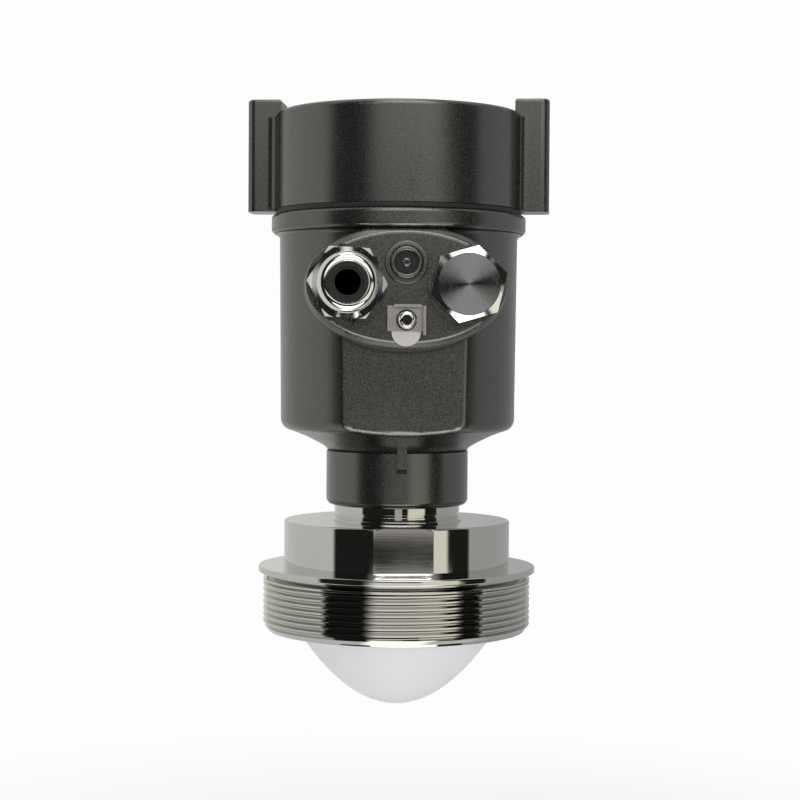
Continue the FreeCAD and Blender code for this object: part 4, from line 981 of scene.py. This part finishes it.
@dataclass
class Housing:
    """Painted casting with the electronics and the display inside.

    Attributes:
        collar_r: Radius of the threaded collar.
        collar_bottom, collar_top, collar_pitch: Ends and pitch of the collar's thread.
        thread_proud: Height of that thread over the collar.
        vent_level: Level of the vent's axis.
        vent_rim_r, vent_rim_face: Outer radius and reach of the ring round the vent.
        pad_level: Level of the pad's middle.
        pad_rims: Half width, half height and reach of the pad's rounded rims in millimetres.
        sides: Lower radius and level, upper radius and level of body, neck and bead in millimetres.
    """

    collar_r: float = 43.0 * MM
    collar_bottom: float = 137.6 * MM
    collar_top: float = 150.6 * MM
    collar_pitch: float = 2.0 * MM
    thread_proud: float = 0.22 * MM
    vent_level: float = 114.0 * MM
    vent_rim_r: float = 7.75 * MM
    vent_rim_face: float = 48.3 * MM
    pad_level: float = 105.4 * MM
    pad_rims: Corners = ((34.3, 19.6, 47.4), (35.7, 22.45, 44.5))
    sides: Corners = ((43.95, 57.4, 44.6, 126.3), (26.65, 27.7, 26.65, 45.4),
                      (47.7, 128.3, 47.7, 132.0))

    def on_vent_rim(self, place: Vector) -> bool:
        """Tells whether a point lies on the front edge of the ring round the vent."""
        off = math.hypot(place.x, place.z - self.vent_level) - self.vent_rim_r
        return abs(off) < 0.02 * MM and abs(place.y + self.vent_rim_face) < 0.02 * MM

    def on_pad_rim(self, rim: tuple[float, float, float], place: Vector) -> bool:
        """Tells whether a point lies on an oval rim of the pad."""
        half_width, half_height, face = rim
        across = math.hypot(place.x / half_width, (place.z - self.pad_level) / half_height)
        return abs(across - 1) < 0.001 and abs(place.y + face) < 0.02 * MM

    def make(self, shop: Workshop) -> None:
        """Builds and dresses the housing.

        Args:
            shop: The workshop.
        """
        sides = [Cone(*side) for side in in_metres(self.sides)]
        rims = [(partial(self.on_pad_rim, rim), 0.8 * MM) for rim in in_metres(self.pad_rims)]
        rims.insert(0, (self.on_vent_rim, 0.5 * MM))
        shop.smooth("housing_casting", Body.HOUSING, Finishes.PAINT, CASTING_SHARP_DEG, sides, rims)
        ridge = ThreadRidge(
            "collar_thread", root=self.collar_r - 0.02 * MM, depth=self.thread_proud,
            pitch=self.collar_pitch, foot=self.collar_pitch * 0.62, crest=0.3 * MM,
            bottom=self.collar_bottom, top=self.collar_top)
        ridge.wind(shop, Body.HOUSING, Finishes.HORN)
        shop.coat({
            Finishes.BLACK_STEEL: ("neck_lock_screw",), Finishes.POTTING: ("electronics_insert",),
            Finishes.BOARD: ("main_board", "display_board"),
            Finishes.TERMINALS: ("terminal_block",),
            Finishes.SCREWS: ("main_board_screws", "terminal_screws", "display_screws"),
            Finishes.DISPLAY_CUP: ("display_carrier",), Finishes.PANEL: ("display_panel",),
            Finishes.GLASS: ("display_glass",),
            Finishes.BUTTONS: tuple(f"display_button_{number}" for number in range(1, 5)),
        })


@dataclass
class ScrewCap:
    """Blind cap with its two lugs, and the black seal below it.

    Attributes:
        radius: Radius of the cap's side.
        bottom, top: Levels where the side starts and ends.
    """

    radius: float = 46.2 * MM
    bottom: float = 135.6 * MM
    top: float = 169.8 * MM

    def make(self, shop: Workshop) -> None:
        """Dresses the cap and its seal."""
        side = Cone(self.radius, self.bottom, self.radius, self.top)
        shop.smooth("screw_cap", Body.CAP, Finishes.PAINT, CASTING_SHARP_DEG, [side])
        shop.smooth("cap_seal_ring", Body.CAP_SEAL, Finishes.RUBBER)


@dataclass
class Ports:
    """Cable gland, blanking plug, vent and earth terminal on the oval pad.

    Attributes:
        plug_x: Distance of the plug's axis from the middle.
        port_level, vent_level: Levels of both ports' axes and of the vent's.
        plug_face, pad_face: Reach of the plug's and the pad's face from the gauge's axis.
        face_r: Radius of the plug's turned face.
        ring_pitch, ring_depth: Distance and height of the rings that the tool leaves on it.
        nib_r: Radius of the nib in the middle.
    """

    plug_x: float = 21.3 * MM
    port_level: float = 106.2 * MM
    plug_face: float = 56.9 * MM
    face_r: float = 10.8 * MM
    ring_pitch: float = 0.3 * MM
    ring_depth: float = 0.016 * MM
    nib_r: float = 0.55 * MM
    vent_level: float = 114.0 * MM
    pad_face: float = 47.4 * MM

    def vent(self, shop: Workshop) -> None:
        """Vent body with its rounded ring, a black disc painted in as the shade of its recess, and
        hollow pin.

        Args:
            shop: The workshop.
        """
        body = [(1.4, -5.0), (5.9, -5.0), (5.9, 1.3, 0.9), (4.0, 1.3, 0.9), (4.0, -0.3),
                (1.4, -0.3)]
        # Painted shade: a thin black disc on the recess floor stands in for the shade inside the
        # vent's recess.
        recess_shade_disc = [(1.7, -0.28), (3.95, -0.28), (3.95, -0.24), (1.7, -0.24)]
        pin = [(0.0, -0.3), (1.65, -0.3), (1.65, 0.6, 0.5), (0.75, 0.6, 0.3), (0.75, 0.1),
               (0.0, 0.1)]
        turn = to_front(0, self.pad_face, self.vent_level)
        pieces = (("vent_body_turned", body, Finishes.PAINT, ("vent_body",)),
                  ("vent_recess_shade_disc", recess_shade_disc, Finishes.CLAW, ()),
                  ("vent_pin_turned", pin, Finishes.VENT_PIN, ("vent_pin",)))
        for name, corners, finish, stands_for in pieces:
            outline = rounded(in_metres(corners), 8)
            piece = shop.lathe(name, outline, even_columns(72), closed=corners[0][0] > 0)
            piece.data.transform(turn)
            shop.hand_over(piece, Body.HOUSING, finish, *stands_for)

    def turned_face(self, shop: Workshop) -> None:
        """Rings and nib on the plug's face.

        Args:
            shop: The workshop.
        """
        lift = 0.02 * MM
        outline = [(self.face_r, -0.3 * MM), (self.face_r, lift)]
        rings = int((self.face_r - self.nib_r) / self.ring_pitch)
        for ring in range(rings):
            radius = self.face_r - ring * self.ring_pitch
            outline.append((radius - self.ring_pitch / 2, lift + self.ring_depth))
            outline.append((radius - self.ring_pitch, lift))
        top = lift + 0.32 * MM
        for step in range(1, 7):
            swing = math.pi / 2 * step / 6
            outline.append((self.nib_r * math.cos(swing), lift + (top - lift) * math.sin(swing)))
        face = shop.lathe(
            "plug_turned_face", outline, even_columns(96), sharp_deg=12.0, closed=False)
        face.data.transform(to_front(self.plug_x, self.plug_face, self.port_level))
        shop.hand_over(face, Body.HOUSING, Finishes.PLUG_FACE)

    def make(self, shop: Workshop) -> None:
        """Builds and dresses what sits on the pad.

        Args:
            shop: The workshop.
        """
        finishes = {
            "gland_body": Finishes.NICKEL, "gland_dome_nut": Finishes.NICKEL,
            "gland_claw": Finishes.CLAW, "gland_seal_insert": Finishes.RUBBER,
            "gland_o_ring": Finishes.RUBBER, "plug_o_ring": Finishes.RUBBER,
            "blanking_plug": Finishes.NICKEL, "earth_tab": Finishes.TAB,
            "earth_clamp": Finishes.CLAMP, "earth_spring_washer": Finishes.BLACK_STEEL,
            "earth_screw": Finishes.NICKEL,
        }
        for node, finish in finishes.items():
            shop.smooth(node, Body.HOUSING, finish)
        self.turned_face(shop)
        self.vent(shop)


# Studio


@dataclass(frozen=True)
class Patch:
    """Part of the studio round the gauge, as seen from it.

    Attributes:
        left, right: Edges in degrees from the front, positive towards +X.
        low, high: Edges in degrees above the horizon.
        soft, sides: Half the width in degrees of the soft ends, and of the soft sides.
        colour: Its light.
    """

    left: float
    right: float
    low: float
    high: float
    soft: float
    sides: float
    colour: Colour


@dataclass
class Studio:
    """White paper tent with a dark room in front, soft lamps, a pale floor and the camera.

    Attributes:
        white: Level of the background.
        paper: Light of the paper as metal shows it.
        plain: Level of the even light on everything that isn't shiny.
        floor_level, floor_r, floor_sides: Level and radius of the floor, and sides of its rim.
        fade: Distances from the axis between which the floor fades into white.
        card: Colour of the floor.
        eye: Place of the camera.
        aim_deg, pitch_deg: Direction of view, clockwise from +Y, and its tilt, negative is down.
        roll_deg: Turn of the camera about its view.
        lens: Focal length in millimetres.
        target: Point that the lamps are aimed at.
        patches: What the metal mirrors instead of the paper, each over those before it.
    """

    white: float = 0.985
    paper: Colour = (0.72, 0.72, 0.70)
    plain: float = 0.63
    floor_level: float = -0.125
    floor_r: float = 0.5
    floor_sides: int = 96
    fade: tuple[float, float] = (0.12, 0.34)
    card: Colour = (0.84, 0.84, 0.835)
    eye: tuple[float, float, float] = (-0.0430, -0.7080, 0.0817)
    aim_deg: float = 3.551
    pitch_deg: float = -1.40
    roll_deg: float = 0.38
    lens: float = 84.6
    target: tuple[float, float, float] = (0, 0, 0.06)
    patches: tuple[Patch, ...] = (
        Patch(75, 178, -50, 50, 6.0, 5.0, (0.46, 0.465, 0.465)),
        Patch(-69.5, 75, -72, 72, 2.0, 2.5, (0.016, 0.016, 0.015)),
        Patch(-190, 190, 76, 91, 3.0, 2.5, (2.6, 2.6, 2.55)),
        Patch(-190, 190, -91, -76, 3.0, 2.5, (1.8, 1.8, 1.75)),
        Patch(-28, 38, 7.5, 32, 3.0, 7.0, (1.42, 1.42, 1.38)),
        Patch(-28, 42, 40, 62, 3.0, 4.0, (3.6, 3.6, 3.55)),
        Patch(-34, 45, -64, -36, 3.0, 4.0, (3.2, 3.18, 3.12)),
        Patch(-25, 50, -15, -6.6, 0.3, 7.0, (0.98, 0.96, 0.93)),
        Patch(-7, 6, -5.5, -4.0, 0.15, 1.0, (0.56, 0.54, 0.50)),
        Patch(17, 49, -30, 1.0, 1.8, 2.2, (0.98, 0.96, 0.82)),
    )

    @staticmethod
    def direct(graph: Graph, path: bpy.types.Node) -> Signal:
        """Gives 1 for rays of the camera, also through glass, and 0 for the rest."""
        camera = Signal(graph, path.outputs["Is Camera Ray"])
        return camera.most(path.outputs["Is Transmission Ray"])

    def sky(self) -> None:
        """Builds the world: what shiny pieces mirror, the even light, and white for the camera."""
        world = bpy.data.worlds.new("studio")
        graph = Graph.fresh(world)
        x, y, z = graph.parts(graph.node("ShaderNodeTexCoord").outputs["Generated"])
        around = x.apply("ARCTAN2", y * -1.0)
        above = z.apply("ARCSINE")
        seen = self.paper
        for patch in self.patches:
            sides = map(math.radians, (patch.left, patch.right, patch.sides))
            ends = map(math.radians, (patch.low, patch.high, patch.soft))
            share = around.band(*sides) * above.band(*ends)
            seen = graph.mix(share, seen, patch.colour)
        path = graph.node("ShaderNodeLightPath")
        even, mirrored, blank = (
            graph.signal("ShaderNodeBackground", {"Color": colour, "Strength": strength})
            for colour, strength in ((WHITE, self.plain), (seen, 1.0), (WHITE, self.white)))
        glossy = path.outputs["Is Glossy Ray"]
        lit = graph.signal("ShaderNodeMixShader", {0: glossy, 1: even, 2: mirrored})
        final = graph.signal("ShaderNodeMixShader", {0: self.direct(graph, path), 1: lit, 2: blank})
        graph.node("ShaderNodeOutputWorld", {0: final})
        bpy.context.scene.world = world

    def floor(self) -> None:
        """Pale round floor that fades into the white background and keeps the gauge's shadow."""
        rim = even_columns(self.floor_sides)
        radius, level = self.floor_r, self.floor_level
        points = [(radius * math.cos(a), radius * math.sin(a), level) for a in rim]
        mesh = bpy.data.meshes.new("floor")
        mesh.from_pydata(points, [], [tuple(range(self.floor_sides))])
        floor = Workshop.piece("floor", mesh)
        material = bpy.data.materials.new("pale_floor")
        graph = Graph.fresh(material)
        x, y, _ = graph.parts(graph.place())
        away = (x * x + y * y).apply("SQRT").step(*self.fade)
        seen = self.direct(graph, graph.node("ShaderNodeLightPath"))
        dull = {"Base Color": self.card, "Roughness": 0.9, "Specular IOR Level": 0.0}
        card = graph.signal("ShaderNodeBsdfPrincipled", dull)
        blank = graph.signal("ShaderNodeEmission", {"Color": WHITE, "Strength": self.white})
        share = seen * (away * 0.3 + 0.7).least(1.0)
        mixed = graph.signal("ShaderNodeMixShader", {0: share, 1: card, 2: blank})
        graph.node("ShaderNodeOutputMaterial", {0: mixed})
        mesh.materials.append(material)
        floor.visible_glossy = False

    def lamp(self, name: str, place: Sequence[float], size: float, power: float,
             colour: Colour) -> None:
        """Large soft lamp that points at the gauge and isn't mirrored.

        Args:
            name: Name of the lamp.
            place: Where it hangs.
            size: Width of its panel.
            power: Watts.
            colour: Colour of its light.
        """
        data = bpy.data.lights.new(name, "AREA")
        data.shape = "SQUARE"
        data.size = size
        data.energy = power
        data.color = colour
        lamp = bpy.data.objects.new(name, data)
        aim = (Vector(place) - Vector(self.target)).to_track_quat("Z", "Y")
        lamp.matrix_world = Matrix.Translation(place) @ aim.to_matrix().to_4x4()
        lamp.visible_glossy = False
        lamp.visible_camera = False
        bpy.context.scene.collection.objects.link(lamp)

    def camera(self) -> None:
        """Camera at the photograph's place and angle."""
        data = bpy.data.cameras.new("camera")
        data.lens = self.lens
        data.sensor_width = 36.0
        data.clip_start = 0.02
        camera = bpy.data.objects.new("camera", data)
        turns = ((-self.aim_deg, "Z"), (90 + self.pitch_deg, "X"), (self.roll_deg, "Z"))
        aim, pitch, roll = (Matrix.Rotation(math.radians(angle), 4, axis) for angle, axis in turns)
        camera.matrix_world = Matrix.Translation(self.eye) @ aim @ pitch @ roll
        bpy.context.scene.collection.objects.link(camera)
        bpy.context.scene.camera = camera

    def make(self) -> None:
        """Sets up the whole studio."""
        self.sky()
        self.floor()
        self.lamp("key_lamp", (-0.55, -0.75, 0.75), 0.6, 3.2, (1.0, 0.985, 0.96))
        self.lamp("fill_lamp", (0.25, -0.85, 0.0), 0.5, 1.6, (1.0, 0.99, 0.98))
        self.lamp("top_lamp", (0.0, 0.15, 1.0), 0.7, 2.4, (1.0, 1.0, 1.0))
        self.camera()
        bpy.context.scene.view_settings.view_transform = "Standard"


def main() -> None:
    """Loads the frame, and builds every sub-assembly and the studio."""
    logging.basicConfig(level=logging.INFO, format="%(name)s %(message)s")
    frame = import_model()
    Studio().make()
    shop = Workshop(frame)
    for assembly in (ProcessFitting(), Housing(), ScrewCap(), Ports()):
        assembly.make(shop)
        LOG.info("%s is dressed", type(assembly).__name__)


if __name__ == "__main__":
    main()
